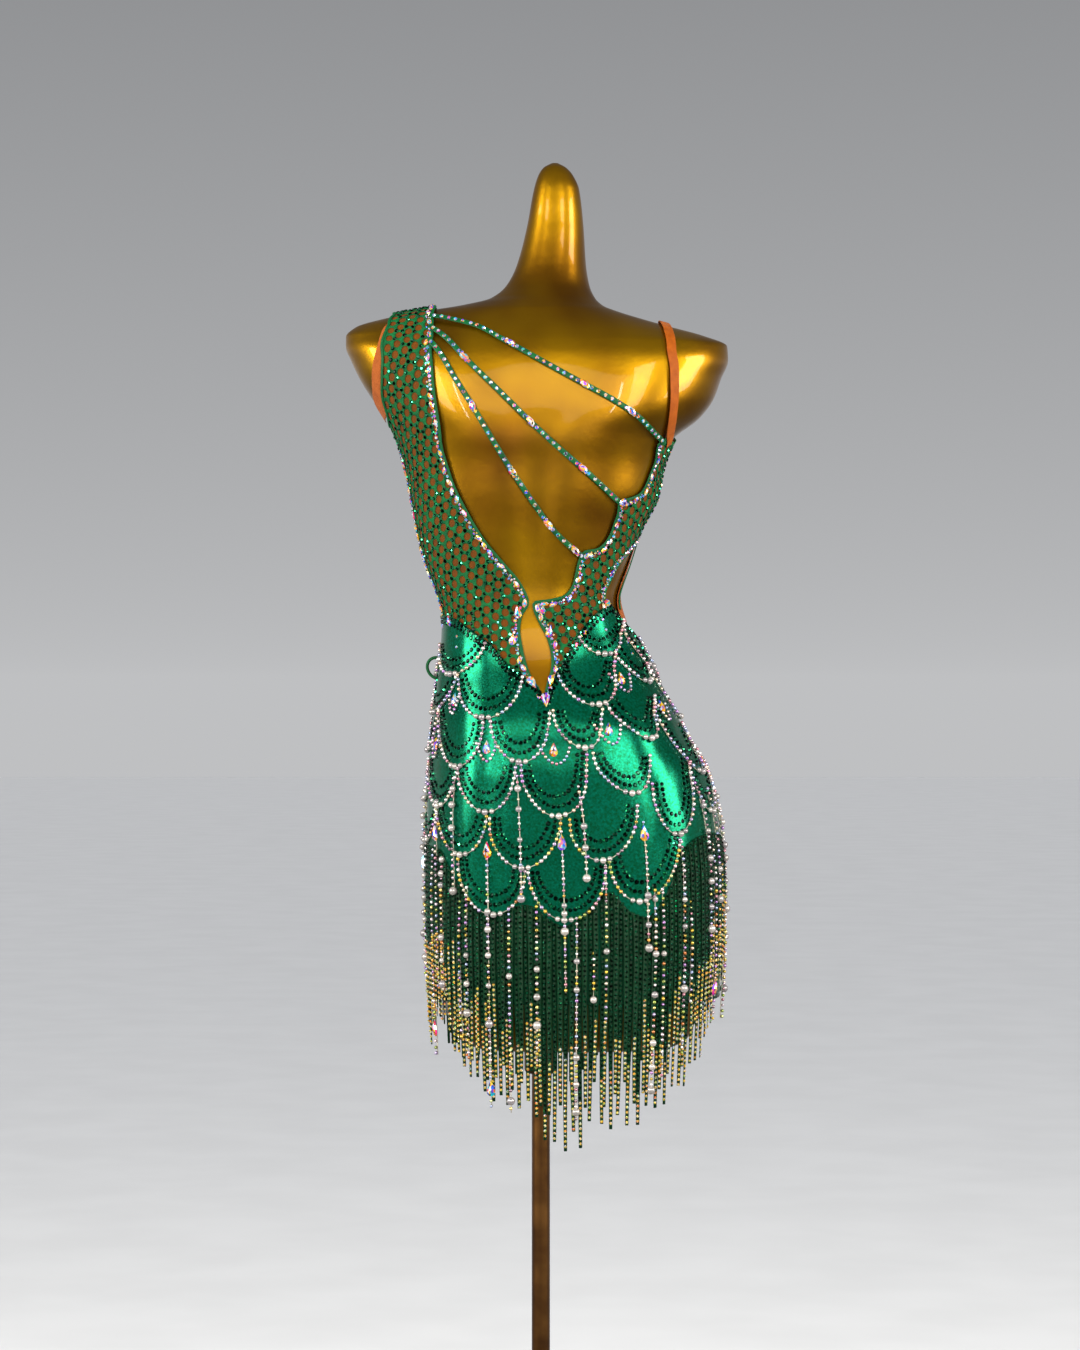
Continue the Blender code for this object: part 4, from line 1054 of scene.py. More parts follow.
# ------------ meshes
class MeshBuffer:
    """Vertices, faces and tints that are gathered first and made into one mesh at the end."""

    def __init__(self) -> None:
        """Start with nothing gathered."""
        self.points: list[np.ndarray] = []
        self.corners: list[np.ndarray] = []
        self.sizes: list[np.ndarray] = []
        self.tints: list[np.ndarray] = []
        self.count = 0
        self.random = np.random.default_rng(97)

    def add(self, points: np.ndarray, *groups: np.ndarray) -> None:
        """Gather a mesh.

        Args:
            points: An (n, 3) array in millimetres.
            groups: Arrays of corners, one row a face; each array has its own row length.
        """
        self.points.append(np.asarray(points, float))
        for faces in groups:
            self.corners.append((faces + self.count).ravel())
            self.sizes.append(np.full(len(faces), faces.shape[1]))
            self.tints.append(np.ones((len(faces), 3)))
        self.count += len(points)

    def add_copies(self, cut: Cut, seats: Seats, sizes: Any, tints: np.ndarray,
                   coating_and_glints: Sequence[str] = ()) -> None:
        """Gather one copy of a small shape at each seat.

        Args:
            cut: The shape.
            seats: Where the copies stand, which way their length goes and their top faces.
            sizes: The half length, half width and height, or one size, for all or for each.
            tints: The (n, 3) linear colour of each copy.
            coating_and_glints: The hex colours given to single facets: a coat's colours, painted
                glints and painted dark reflections.
        """
        count, shape = len(seats.points), cut.value
        if not count:
            return
        normal = unit(seats.normal)
        across = unit(np.cross(normal, seats.along))
        along = np.cross(across, normal)
        sizes = np.broadcast_to(np.asarray(sizes, float), (count, 3))
        local = shape.points[None, :, :] * sizes[:, None, :]
        points = (seats.points[:, None, :] + local[..., 0:1] * along[:, None, :]
                  + local[..., 1:2] * across[:, None, :] + local[..., 2:3] * normal[:, None, :])
        shifts = np.arange(count) * len(shape.points) + self.count
        for faces in shape.faces:
            self.corners.append((faces[None, :, :] + shifts[:, None, None]).ravel())
            self.sizes.append(np.full(count * len(faces), faces.shape[1]))
            tint = np.repeat(tints, len(faces), axis=0)
            # Single facets take painted glints and painted dark reflections, with a coat's colours
            # where the glass has one.
            if coating_and_glints:
                share = self.random.uniform(0.5, 1.0, (len(tint), 1))
                share *= shape.top_coat_and_glints if faces is shape.faces[-1] else 1.0
                picked = self.random.integers(0, len(coating_and_glints), len(tint))
                tint = tint * (1.0 - share) + Tints.table(coating_and_glints)[picked] * share
            self.tints.append(tint)
        self.points.append(points.reshape(-1, 3))
        self.count += count * len(shape.points)

    def add_shell(self, inner: np.ndarray, outer: np.ndarray, faces: np.ndarray) -> None:
        """Gather a thin closed shell between two sets of points with the same faces.

        Args:
            inner: The (n, 3) points of the side next to the body.
            outer: The (n, 3) points of the side that shows.
            faces: The (m, k) corners, in the same turn seen from outside.
        """
        count = len(inner)
        pairs = np.concatenate([np.stack([start, end], -1) for start, end in
                                zip(faces.T, np.roll(faces, -1, axis=1).T)])
        keys = pairs[:, 0] * count + pairs[:, 1]
        rim = pairs[~np.isin(keys, pairs[:, 1] * count + pairs[:, 0])]
        a, b, c = (outer[faces[:, k]] for k in range(3))
        facing = np.sum(np.cross(b - a, c - a) * (outer - inner)[faces[:, 0]])
        sides = np.stack([rim[:, 0], rim[:, 1], rim[:, 1] + count, rim[:, 0] + count], -1)
        first, second = faces[:, ::-1], faces + count
        if facing < 0.0:
            first, second = faces, faces[:, ::-1] + count
        self.add(np.concatenate([inner, outer]), np.concatenate([first, second]),
                 sides if facing > 0.0 else sides[:, ::-1])

    def add_cloth(self, places: np.ndarray, inner: Any, outer: Any, hanging: bool = False,
                  closed: bool = False) -> None:
        """Gather cloth over a grid of places, from one distance off the body to another."""
        sides = (BODY.off(places, out, hanging).reshape(-1, 3) for out in (inner, outer))
        self.add_shell(*sides, grid_faces(*places.shape[:2], closed))

    def add_tube(self, seats: Seats, half_width: Any, half_height: float, sides: int = 8,
                 square: float = 2.0) -> None:
        """Gather a closed tube with an oval or nearly square section.

        Args:
            seats: The points of its middle line, its directions and the way it faces.
            half_width: Half its width across, or one for each point.
            half_height: Half its thickness.
            sides: How many corners its section has.
            square: 2 for an oval, more for a flatter band.
        """
        across = unit(np.cross(seats.normal, seats.along))
        normal = unit(np.cross(seats.along, across))
        rings = len(seats.points)
        turn = 2.0 * np.pi * np.arange(sides) / sides
        wide = rounded(np.cos(turn), 2.0 / square)
        wide = np.broadcast_to(np.asarray(half_width, float), (rings,))[:, None] * wide
        high = rounded(np.sin(turn), 2.0 / square) * half_height
        points = (seats.points[:, None, :] + wide[:, :, None] * across[:, None, :]
                  + high[None, :, None] * normal[:, None, :])
        self.add_rings(points.reshape(-1, 3), rings, sides)

    def add_rings(self, points: np.ndarray, rings: int, sides: int, inward: bool = False) -> None:
        """Gather a closed surface through rings of points, with a flat face at each end.

        Args:
            points: An (rings * sides, 3) array in millimetres.
            rings: How many rings there are.
            sides: How many points a ring has.
            inward: Whether the rings run the other way round.
        """
        step = np.arange(sides)
        turn = -1 if inward else 1
        ends = np.array([step[::-turn], (rings - 1) * sides + step[::turn]])
        self.add(points, grid_faces(rings, sides, True)[:, ::turn], ends)

    def build(self, name: str, finish: Finish) -> bpy.types.Object:
        """Make one object of all that was gathered.

        Args:
            name: The piece's name.
            finish: Its finish.

        Returns:
            The new object, in metres.
        """
        points = np.concatenate(self.points) * MM
        corners, sizes = np.concatenate(self.corners), np.concatenate(self.sizes)
        mesh = bpy.data.meshes.new(name)
        mesh.vertices.add(len(points))
        mesh.vertices.foreach_set("co", points.astype(np.float32).ravel())
        mesh.loops.add(len(corners))
        mesh.loops.foreach_set("vertex_index", corners.astype(np.int32))
        mesh.polygons.add(len(sizes))
        starts = np.concatenate([[0], np.cumsum(sizes)[:-1]])
        smooth = np.full(len(sizes), finish.smoothing is not Smoothing.FACETED)
        mesh.polygons.foreach_set("loop_start", starts.astype(np.int32))
        mesh.polygons.foreach_set("use_smooth", smooth)
        mesh.update(calc_edges=True)
        mesh.validate()
        tints = np.concatenate(self.tints)
        if np.ptp(tints) > 0.0:
            colours = mesh.color_attributes.new("tint", "FLOAT_COLOR", "CORNER")
            filled = np.repeat(np.c_[tints, np.ones(len(tints))], sizes, axis=0)
            colours.data.foreach_set("color", filled.astype(np.float32).ravel())
        if finish.smoothing is Smoothing.CREASED:
            mesh.set_sharp_from_angle(angle=math.radians(38.0))
        mesh.materials.append(finish.build())
        obj = bpy.data.objects.new(name, mesh)
        bpy.context.scene.collection.objects.link(obj)
        return obj


def settle(buffer: MeshBuffer, name: str, finish: Finish, *nodes: str) -> bpy.types.Object:
    """Make a piece that rides on the part, and let it stand for CAD nodes.

    Args:
        buffer: The piece's mesh.
        name: Its name.
        finish: Its finish.
        nodes: The CAD nodes that it replaces.

    Returns:
        The piece.
    """
    piece = buffer.build(name, finish)
    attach(piece, ROOT)
    if nodes:
        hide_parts(*nodes)
    piece.data.calc_loop_triangles()
    LOG.info("%s: %d triangles", name, len(piece.data.loop_triangles))
    return piece


# ------------ the stand and the form
@dataclass
class Stand:
    """The round base, its flange, the pole and the socket under the form."""

    base_radius: float = 170.0
    base_top: float = 6.0
    flange_radius: float = 34.0
    flange_top: float = 22.3
    flange_neck: float = 14.4
    pole_radius: float = 10.4
    pole_x: float = -1.0
    socket_radius: float = 19.0
    socket_top: float = 568.7
    socket_foot: float = 542.7
    gap: float = 0.3
    screw_circle: float = 27.5
    screw_turns: tuple[float, ...] = (0.35, 0.35 + 2.0944, 0.35 + 4.1888)

    def turned(self, corners: Sequence[tuple[float, float, float]], segments: int,
               ring: bool) -> MeshBuffer:
        """Make a turned piece.

        Args:
            corners: (radius, height, rounding) rows, upward along the outside.
            segments: How many corners it has round.
            ring: Whether its profile closes on itself round a hole.

        Returns:
            Its mesh.
        """
        outline = ring_outline(segments)
        profile = self.profile(corners)
        points = np.concatenate([np.c_[outline * radius + (self.pole_x, 0.0),
                                       np.full(segments, height)] for radius, height in profile])
        buffer = MeshBuffer()
        if ring:
            buffer.add(points, grid_faces(len(profile) + 1, segments, True) % len(points))
        else:
            buffer.add_rings(points, len(profile), segments)
        return buffer

    def profile(self, corners: Sequence[tuple[float, float, float]]) -> list[np.ndarray]:
        """Round the corners of a profile.

        Args:
            corners: (radius, height, rounding) rows; rounding 0 keeps the corner sharp.

        Returns:
            (radius, height) points.
        """
        found = []
        for index, (radius, height, rounding) in enumerate(corners):
            here = np.array([radius, height])
            if rounding <= 0.0 or index in (0, len(corners) - 1):
                found.append(here)
                continue
            back = unit(np.array(corners[index - 1][:2]) - here) * rounding
            ahead = unit(np.array(corners[index + 1][:2]) - here) * rounding
            found += [here + back * (1.0 - share) ** 2 + ahead * share ** 2
                      for share in np.linspace(0.0, 1.0, 5)]
        return found

    def build(self) -> None:
        """Make the four turned pieces."""
        bore, low = self.pole_radius + self.gap, self.base_top + self.gap
        plate = self.turned([
            (8.0, 0.0, 0.0), (self.base_radius, 0.0, 1.2), (self.base_radius, self.base_top, 2.4),
            (8.0, self.base_top, 0.0)], 160, False)
        flange = self.turned([
            (bore, low, 0.0), (self.flange_radius, low, 0.6),
            (self.flange_radius, low + 4.0, 1.4), (21.5, low + 8.6, 4.0),
            (self.flange_neck, low + 10.5, 1.8), (self.flange_neck, self.flange_top, 1.0),
            (bore, self.flange_top, 0.0)], 72, True)
        for turn in self.screw_turns:
            self.add_screw(flange, turn, low + 5.4)
        heights = np.linspace(0.0, self.socket_top - self.gap - low, 12)
        pole = self.turned([(self.pole_radius, low + height, 0.0) for height in heights], 56, False)
        socket = self.turned([
            (bore, self.socket_foot, 0.0), (16.0, self.socket_foot, 0.8),
            (self.socket_radius, self.socket_foot + 3.4, 1.6),
            (self.socket_radius, self.socket_top, 0.4), (bore, self.socket_top, 0.0)], 64, True)
        settle(plate, "stand_base", TURNED_BRONZE, "base_plate")
        settle(flange, "stand_flange", TURNED_BRONZE, "base_flange")
        settle(pole, "stand_tube", BRONZE, "stand_pole")
        settle(socket, "stand_socket", TURNED_BRONZE, "form_socket")

    def add_screw(self, buffer: MeshBuffer, turn: float, height: float) -> None:
        """Gather one domed screw head that sits on the flange's slope.

        Args:
            buffer: Where it is gathered.
            turn: Its place round the pole, in radians.
            height: Its height above the floor.
        """
        cos, sin = math.cos(turn), math.sin(turn)
        place = np.array([[self.pole_x + self.screw_circle * cos, self.screw_circle * sin, height]])
        out = np.array([[0.32 * cos, 0.32 * sin, 1.0]])
        along = np.array([[0.0, 0.0, 1.0]]) - out * 0.3
        buffer.add_copies(Cut.SCREW, Seats(place - out * 1.2, along, out), (3.4, 3.4, 1.6),
                          np.ones((1, 3)))


@dataclass
class DressForm:
    """The smooth limbless form, as one fine lacquered shell."""

    columns: int = 168
    pitch: float = 5.0
    fine_pitch: float = 1.6
    neck_from: float = 1377.0
    seat_to: float = 610.0

    def build(self) -> None:
        """Loft the form through its sections, closer where they change quickly."""
        table = sorted({row.height for row in FORM_SECTIONS}, reverse=True)
        heights = [np.array([table[0]])]
        for top, bottom in zip(table[:-1], table[1:]):
            quick = top > self.neck_from or bottom < self.seat_to
            pitch = self.fine_pitch if quick else self.pitch
            count = max(int(math.ceil((top - bottom) / pitch)), 1)
            heights.append(np.linspace(top, bottom, count + 1)[1:])
        levels = np.concatenate(heights)
        turn, height = np.meshgrid(360.0 * np.arange(self.columns) / self.columns, levels)
        buffer = MeshBuffer()
        buffer.add_rings(BODY.point(turn, height, bare=True).reshape(-1, 3), len(levels),
                         self.columns, inward=True)
        settle(buffer, "gold_form", GOLD, "dress_form")


# ------------ the skirt's rim
RIM_TURNS = BODY.places_for(RIM_BACK)[:, 0]
RIM = Curve([rim.angle for rim in RIM_FRONT] + list(RIM_TURNS),
            [rim.height for rim in RIM_FRONT] + [stop.height for stop in RIM_BACK])


def rim_height(angle: np.ndarray) -> np.ndarray:
    """Return the height of the skirt's upper edge at each angle."""
    return RIM((np.asarray(angle, float) + 90.0) % 360.0 - 90.0)


# ------------ distances over the cloth
class ClothPlane:
    """Distances over the back or the front of the form: across from its middle, and up it.

    Up to the shoulder, a place's rise is its height.  Over the shoulder, the rise goes on
    along the top of the shoulder to its seam.
    """

    HALF_TURN = 130
    FOOT = 960.0
    PITCH = 2.0
    SHOULDER_X = 143.0
    STEPS = 41

    def __init__(self, front: bool) -> None:
        """Measure the surface once.

        Args:
            front: Whether it is the front, whose middle is at -90.
        """
        sign = -1.0 if front else 1.0
        self.angles = 90.0 * sign + np.arange(-self.HALF_TURN, self.HALF_TURN + 1.0)
        self.heights = np.arange(self.FOOT, SHOULDER_FROM + 1.0, self.PITCH)
        turn, height = np.meshgrid(self.angles, self.heights)
        gaps = np.linalg.norm(np.diff(BODY.point(turn, height), axis=1), axis=2)
        self.reach = np.concatenate([np.zeros((len(self.heights), 1)), np.cumsum(gaps, 1)], 1)
        self.reach -= self.reach[:, self.HALF_TURN:self.HALF_TURN + 1]
        top = BODY.point(self.angles, np.full(len(self.angles), SHOULDER_FROM))
        order = np.argsort(top[:, 0])
        used = order[(top[order, 1] * sign > 0.0) & (top[order, 0] > 20.0)]
        self.top_x, self.top_y, self.top_reach = top[used, 0], top[used, 1], self.reach[-1, used]
        self.shares = np.linspace(1.0, 0.0, self.STEPS)
        y = np.interp(self.SHOULDER_X, self.top_x, self.top_y) * self.shares
        x = np.full(self.STEPS, self.SHOULDER_X)
        line = np.stack([x, y, BODY.over_shoulder(x, y)[:, 1]], -1)
        rise = np.concatenate([[0.0], np.cumsum(np.linalg.norm(np.diff(line, axis=0), axis=1))])
        self.rises = rise + SHOULDER_FROM

    def rows(self, height: np.ndarray) -> tuple[np.ndarray, np.ndarray]:
        """Return the measured row below each height, and the share of the way to the next."""
        level = np.clip((height - self.heights[0]) / self.PITCH, 0.0, len(self.heights) - 1.001)
        return level.astype(int), level % 1.0

    def flatten(self, places: np.ndarray) -> np.ndarray:
        """Turn places to distances.

        Args:
            places: An (n, 2) array of angles and heights.

        Returns:
            An (n, 2) array of distances across and rises.
        """
        angle, height = places[:, 0], places[:, 1]
        across = np.array([(1.0 - part) * np.interp(turn, self.angles, self.reach[row])
                           + part * np.interp(turn, self.angles, self.reach[row + 1])
                           for turn, row, part in zip(angle, *self.rows(height))])
        point = BODY.point(angle, height)
        share = np.abs(point[:, 1] / np.interp(point[:, 0], self.top_x, self.top_y))
        over = np.interp(-share, -self.shares, self.rises)
        above = height > SHOULDER_FROM
        beyond = np.interp(point[:, 0], self.top_x, self.top_reach)
        return np.stack([np.where(above, beyond, across), np.where(above, over, height)], -1)

    def lay(self, flat: np.ndarray) -> np.ndarray:
        """Turn distances to places.

        Args:
            flat: An (n, 2) array of distances across and rises.

        Returns:
            An (n, 2) array of angles and heights.
        """
        across, rise = flat[:, 0], flat[:, 1]
        row, part = self.rows(rise)
        lines = (1.0 - part[:, None]) * self.reach[row] + part[:, None] * self.reach[row + 1]
        index = np.clip(np.sum(lines < across[:, None], axis=1), 1, len(self.angles) - 1)
        pick = np.arange(len(flat))
        low, high = lines[pick, index - 1], lines[pick, index]
        angle = self.angles[index - 1] + (across - low) / np.maximum(high - low, 1e-6)
        order = np.argsort(self.top_reach)
        x = np.interp(across, self.top_reach[order], self.top_x[order])
        y = np.interp(rise, self.rises, self.shares) * np.interp(x, self.top_x, self.top_y)
        above = (rise > SHOULDER_FROM)[:, None]
        return np.where(above, BODY.over_shoulder(x, y), np.stack([angle, rise], -1))


def inside(flat: np.ndarray, outline: np.ndarray) -> np.ndarray:
    """Tell which points lie inside a closed outline.

    Args:
        flat: The (n, 2) points.
        outline: The (m, 2) corners of the outline.

    Returns:
        One answer for each point.
    """
    found = np.zeros(len(flat), bool)
    for start, end in zip(outline, np.roll(outline, -1, axis=0)):
        crosses = (start[1] > flat[:, 1]) != (end[1] > flat[:, 1])
        if start[1] != end[1]:
            side = start[0] + (flat[:, 1] - start[1]) * (end[0] - start[0]) / (end[1] - start[1])
            found ^= crosses & (flat[:, 0] < side)
    return found


def nearest(flat: np.ndarray, outline: np.ndarray) -> np.ndarray:
    """Find the nearest point of a closed outline to each point.

    Args:
        flat: The (n, 2) points.
        outline: The (m, 2) corners of the outline.

    Returns:
        An (n, 2) array of points on the outline.
    """
    best = np.full(len(flat), np.inf)
    found = flat.copy()
    for start, end in zip(outline, np.roll(outline, -1, axis=0)):
        line = end - start
        size = max(float(line @ line), 1e-9)
        share = np.clip((flat - start) @ line / size, 0.0, 1.0)
        spot = start + share[:, None] * line
        gap = np.sum((flat - spot) ** 2, axis=1)
        closer = gap < best
        found[closer], best[closer] = spot[closer], gap[closer]
    return found


# ------------ panels of the bodice
def panel_rows(ends: Sequence[tuple[float, ...]], finer: int, columns: int) -> np.ndarray:
    """Lay out rows of places across a panel.

    Args:
        ends: The outer angle and height and the inner angle and height of each rib.
        finer: How many rows go from one rib to the next.
        columns: How many places a row has.

    Returns:
        A (rows, columns, 2) array of angles and heights.
    """
    fine = smooth_stops(ends, (len(ends) - 1) * finer)
    share = np.linspace(0.0, 1.0, columns)[None, :, None]
    return fine[:, None, 0:2] * (1.0 - share) + fine[:, None, 2:4] * share


@dataclass
class NetPanel:
    """A panel of green knit with round holes, stoned at its junctions, on a nude lining."""

    name: str
    ribs: Sequence[Rib]
    plane: ClothPlane
    seams: tuple[float, float]
    flat: tuple[float, float]
    front: bool = False
    shoulder: bool = True
    hemmed: bool = True
    finer: int = 4
    columns: int = 16
    column_pitch: float = 10.8
    hole_pitch: float = 12.2
    hole: tuple[float, float] = (4.15, 4.55)
    lean: float = 0.0
    stone: float = 2.25
    stone_height: float = 1.5
    stone_from_edge: float = 4.5
    shares_stoned: tuple[float, float] = (0.45, 0.94)
    seed: int = 3
    hem_reach: float = 5.0
    lining_wall: float = 0.4
    rows: np.ndarray = field(init=False, repr=False)

    def __post_init__(self) -> None:
        """Lay out the panel's rows of places from its ribs, the last ones along the rim."""
        ends = self.shoulder_ends() if self.shoulder else []
        ends += [(*self.end(rib.outer_x, rib.outer_height, rib),
                  *self.end(rib.inner_x, rib.inner_height, rib)) for rib in self.ribs]
        self.rows = panel_rows(ends, self.finer, self.columns)
        if self.hemmed:
            change = rim_height(self.rows[-1, :, 0]) - SEAM_LAP - self.rows[-1, :, 1]
            change[-1] = min(change[-1], 0.0)
            above_hem = np.arange(len(self.rows) - 1, -1, -1) / (self.hem_reach * self.finer)
            weight = np.clip(1.0 - above_hem, 0, 1)
            self.rows[..., 1] += weight[:, None] * change[None, :]

    def end(self, x: float, height: float, rib: Rib) -> tuple[float, float]:
        """Find an end of a rib, which lies on a seam if it is at a side.

        Args:
            x: Its distance towards the wearer's left, or SIDE with a sign.
            height: Its height.
            rib: The rib.

        Returns:
            Its angle and height.
        """
        if abs(x) != SIDE:
            return float(BODY.angle_for(x, height, self.front)), height
        if x > 0.0:
            return self.seams[0], height
        if self.front:
            low = rib.inner_height <= WAIST_INSERT_EDGES[0].height
            return (CUTOUT_EDGE if low else SEAM_RIGHT) - 360.0, height
        return self.seams[1], height

    def shoulder_ends(self) -> list[tuple[float, ...]]:
        """Lay ribs from the shoulder's seam down to the first rib.

        Returns:
            The angles and heights of their ends.
        """
        sign = -1.0 if self.front else 1.0
        first = self.ribs[0]
        corners = ((SHOULDER_OUTER_X, first.outer_x, first.outer_height),
                   (SHOULDER_INNER_X, first.inner_x, first.inner_height))
        found = []
        for station in range(SHOULDER_STATIONS):
            row: list[float] = []
            for x, goal_x, goal_height in corners:
                goal = float(BODY.angle_for(goal_x, goal_height))
                share = station / SHOULDER_STATIONS
                angle = sign * (SHOULDER_SEAM + (goal - SHOULDER_SEAM) * share)
                row += [angle, float(BODY.height_for(x, angle))]
            found.append(tuple(row))
        return found

    def outline(self) -> np.ndarray:
        """Return the panel's edge as places."""
        return np.concatenate([self.rows[:, 0], self.rows[-1, 1:], self.rows[-2::-1, -1],
                               self.rows[0, -2:0:-1]])

    def build(self) -> None:
        """Make the lining, the net and its stones."""
        ease = chest_ease(self.rows[..., 1])
        lining = MeshBuffer()
        lining.add_cloth(self.rows, CLOTH_IN + ease, CLOTH_IN + self.lining_wall + ease)
        settle(lining, f"lining_{self.name}", LINING)
        flat, quads, edge_of_hole, junctions = self.cells()
        places = self.plane.lay(flat)
        ease = chest_ease(places[:, 1])
        outer = np.where(edge_of_hole, CLOTH_OUT - 0.1, CLOTH_OUT + 0.15) + ease
        net = MeshBuffer()
        net.add_shell(BODY.off(places, CLOTH_IN + 0.7 + ease), BODY.off(places, outer), quads)
        piece = settle(net, f"net_{self.name}", NET, f"bodice_{self.name}")
        self.add_stones(junctions)

    def cells(self) -> tuple[np.ndarray, np.ndarray, np.ndarray, np.ndarray]:
        """Lay out the net's cells, each a hexagon with a round hole, cut at the panel's edge.

        Returns:
            The flat points, the faces, which points edge a hole, and the junctions.
        """
        lean = np.radians(self.lean)
        turned = np.array([(math.cos(lean), -math.sin(lean)), (math.sin(lean), math.cos(lean))])
        outline = self.plane.flatten(self.outline()) @ turned
        across, pitch = self.column_pitch, self.hole_pitch
        far = (across ** 2 + pitch ** 2 / 4.0) / (2.0 * across)
        near = across - far
        corners = np.array([(far, 0.0), (near, pitch / 2), (-near, pitch / 2), (-far, 0.0),
                            (-near, -pitch / 2), (near, -pitch / 2)])
        ring = np.stack([corners, (corners + np.roll(corners, -1, axis=0)) / 2.0], 1).reshape(-1, 2)
        turn = np.arctan2(ring[:, 1], ring[:, 0])
        hole = np.stack([self.hole[0] * np.cos(turn), self.hole[1] * np.sin(turn)], -1)
        low, high = outline.min(0) - pitch, outline.max(0) + pitch
        column, level = (grid.ravel() for grid in np.meshgrid(*(
            np.arange(math.floor(low[k] / step), math.ceil(high[k] / step) + 1)
            for k, step in enumerate((across, pitch)))))
        centres = np.stack([column * across, (level + 0.5 * (column % 2)) * pitch], -1)
        sides = len(ring)
        step = np.arange(sides)
        beside = (step + 1) % sides
        cell = np.stack([step, beside, sides + beside, sides + step], -1)
        flat = (np.concatenate([ring, hole])[None] + centres[:, None]).reshape(-1, 2)
        shifts = 2 * sides * np.arange(len(centres))
        faces = (cell[None] + shifts[:, None, None]).reshape(-1, 4)
        hole_edge = np.tile(np.arange(2 * sides) >= sides, len(centres))
        _, first, same = np.unique(np.round(flat, 2), axis=0, return_index=True,
                                   return_inverse=True)
        flat, hole_edge, faces = flat[first], hole_edge[first], same.ravel()[faces]
        within = inside(flat, outline)
        faces = faces[within[faces].any(axis=1)]
        used, renumbered = np.unique(faces, return_inverse=True)
        flat, hole_edge, within = flat[used], hole_edge[used], within[used]
        flat[~within] = nearest(flat[~within], outline)
        junctions = np.concatenate([centres - (far, 0.0), centres + (far, 0.0)])
        draw = np.random.default_rng(self.seed).random(len(junctions))
        kept = draw < np.repeat(self.shares_stoned, len(centres))
        kept &= inside(junctions, outline)
        from_edge = np.linalg.norm(junctions - nearest(junctions, outline), axis=1)
        kept &= from_edge > self.stone_from_edge
        return (flat @ turned.T, renumbered.reshape(-1, 4), hole_edge,
                junctions[kept] @ turned.T)

    def add_stones(self, junctions: np.ndarray) -> None:
        """Glue a dark stone on each junction of the net.

        Args:
            junctions: The flat points of the junctions that have one.
        """
        tints = Tints(self.seed)
        places = self.plane.lay(junctions)
        count = len(places)
        size = self.stone * tints.random.uniform(0.9, 1.1, count)
        seats = Seats.single(places, CLOTH_OUT + 0.05 + chest_ease(places[:, 1]),
                             tints.random.uniform(0.0, 3.0, count))
        stones = MeshBuffer()
        stones.add_copies(Cut.STONE, seats, np.c_[size, size, np.full(count, self.stone_height)],
                          tints.draw(Tints.FOREST, count), Tints.GLINT)
        settle(stones, f"stones_{self.name}", FOREST_GLASS)


@dataclass
class PlainPanels:
    """The nude facing of the left armhole and the nude insert of the waist cut-out."""

    finer: int = 6
    columns: int = 9
    thinner: float = 0.2
    insert_gap: float = 1.6

    def shell(self, name: str, ends: Sequence[tuple[float, ...]], node: str) -> None:
        """Make one nude panel.

        Args:
            name: The piece's name.
            ends: The angles and heights of its ribs' ends.
            node: The CAD node that it replaces.
        """
        rows = panel_rows(ends, self.finer, self.columns)
        ease = chest_ease(rows[..., 1])
        buffer = MeshBuffer()
        buffer.add_cloth(rows, CLOTH_IN + self.thinner + ease, CLOTH_OUT - self.thinner + ease)
        settle(buffer, name, FACING, node)

    def build(self) -> None:
        """Make both panels."""
        outer = BODY.places_for([(rib.outer_x, rib.outer_height) for rib in ARMHOLE_RIBS])
        inner = BODY.places_for([(rib.inner_x, rib.inner_height) for rib in ARMHOLE_RIBS])
        self.shell("armhole_facing_cloth", np.c_[outer, inner], "armhole_facing")
        seam = CUTOUT_EDGE - self.insert_gap
        ends = [(edge.back_angle, edge.height, seam, edge.height) for edge in WAIST_INSERT_EDGES]
        self.shell("waist_insert_cloth", ends, "waist_insert")


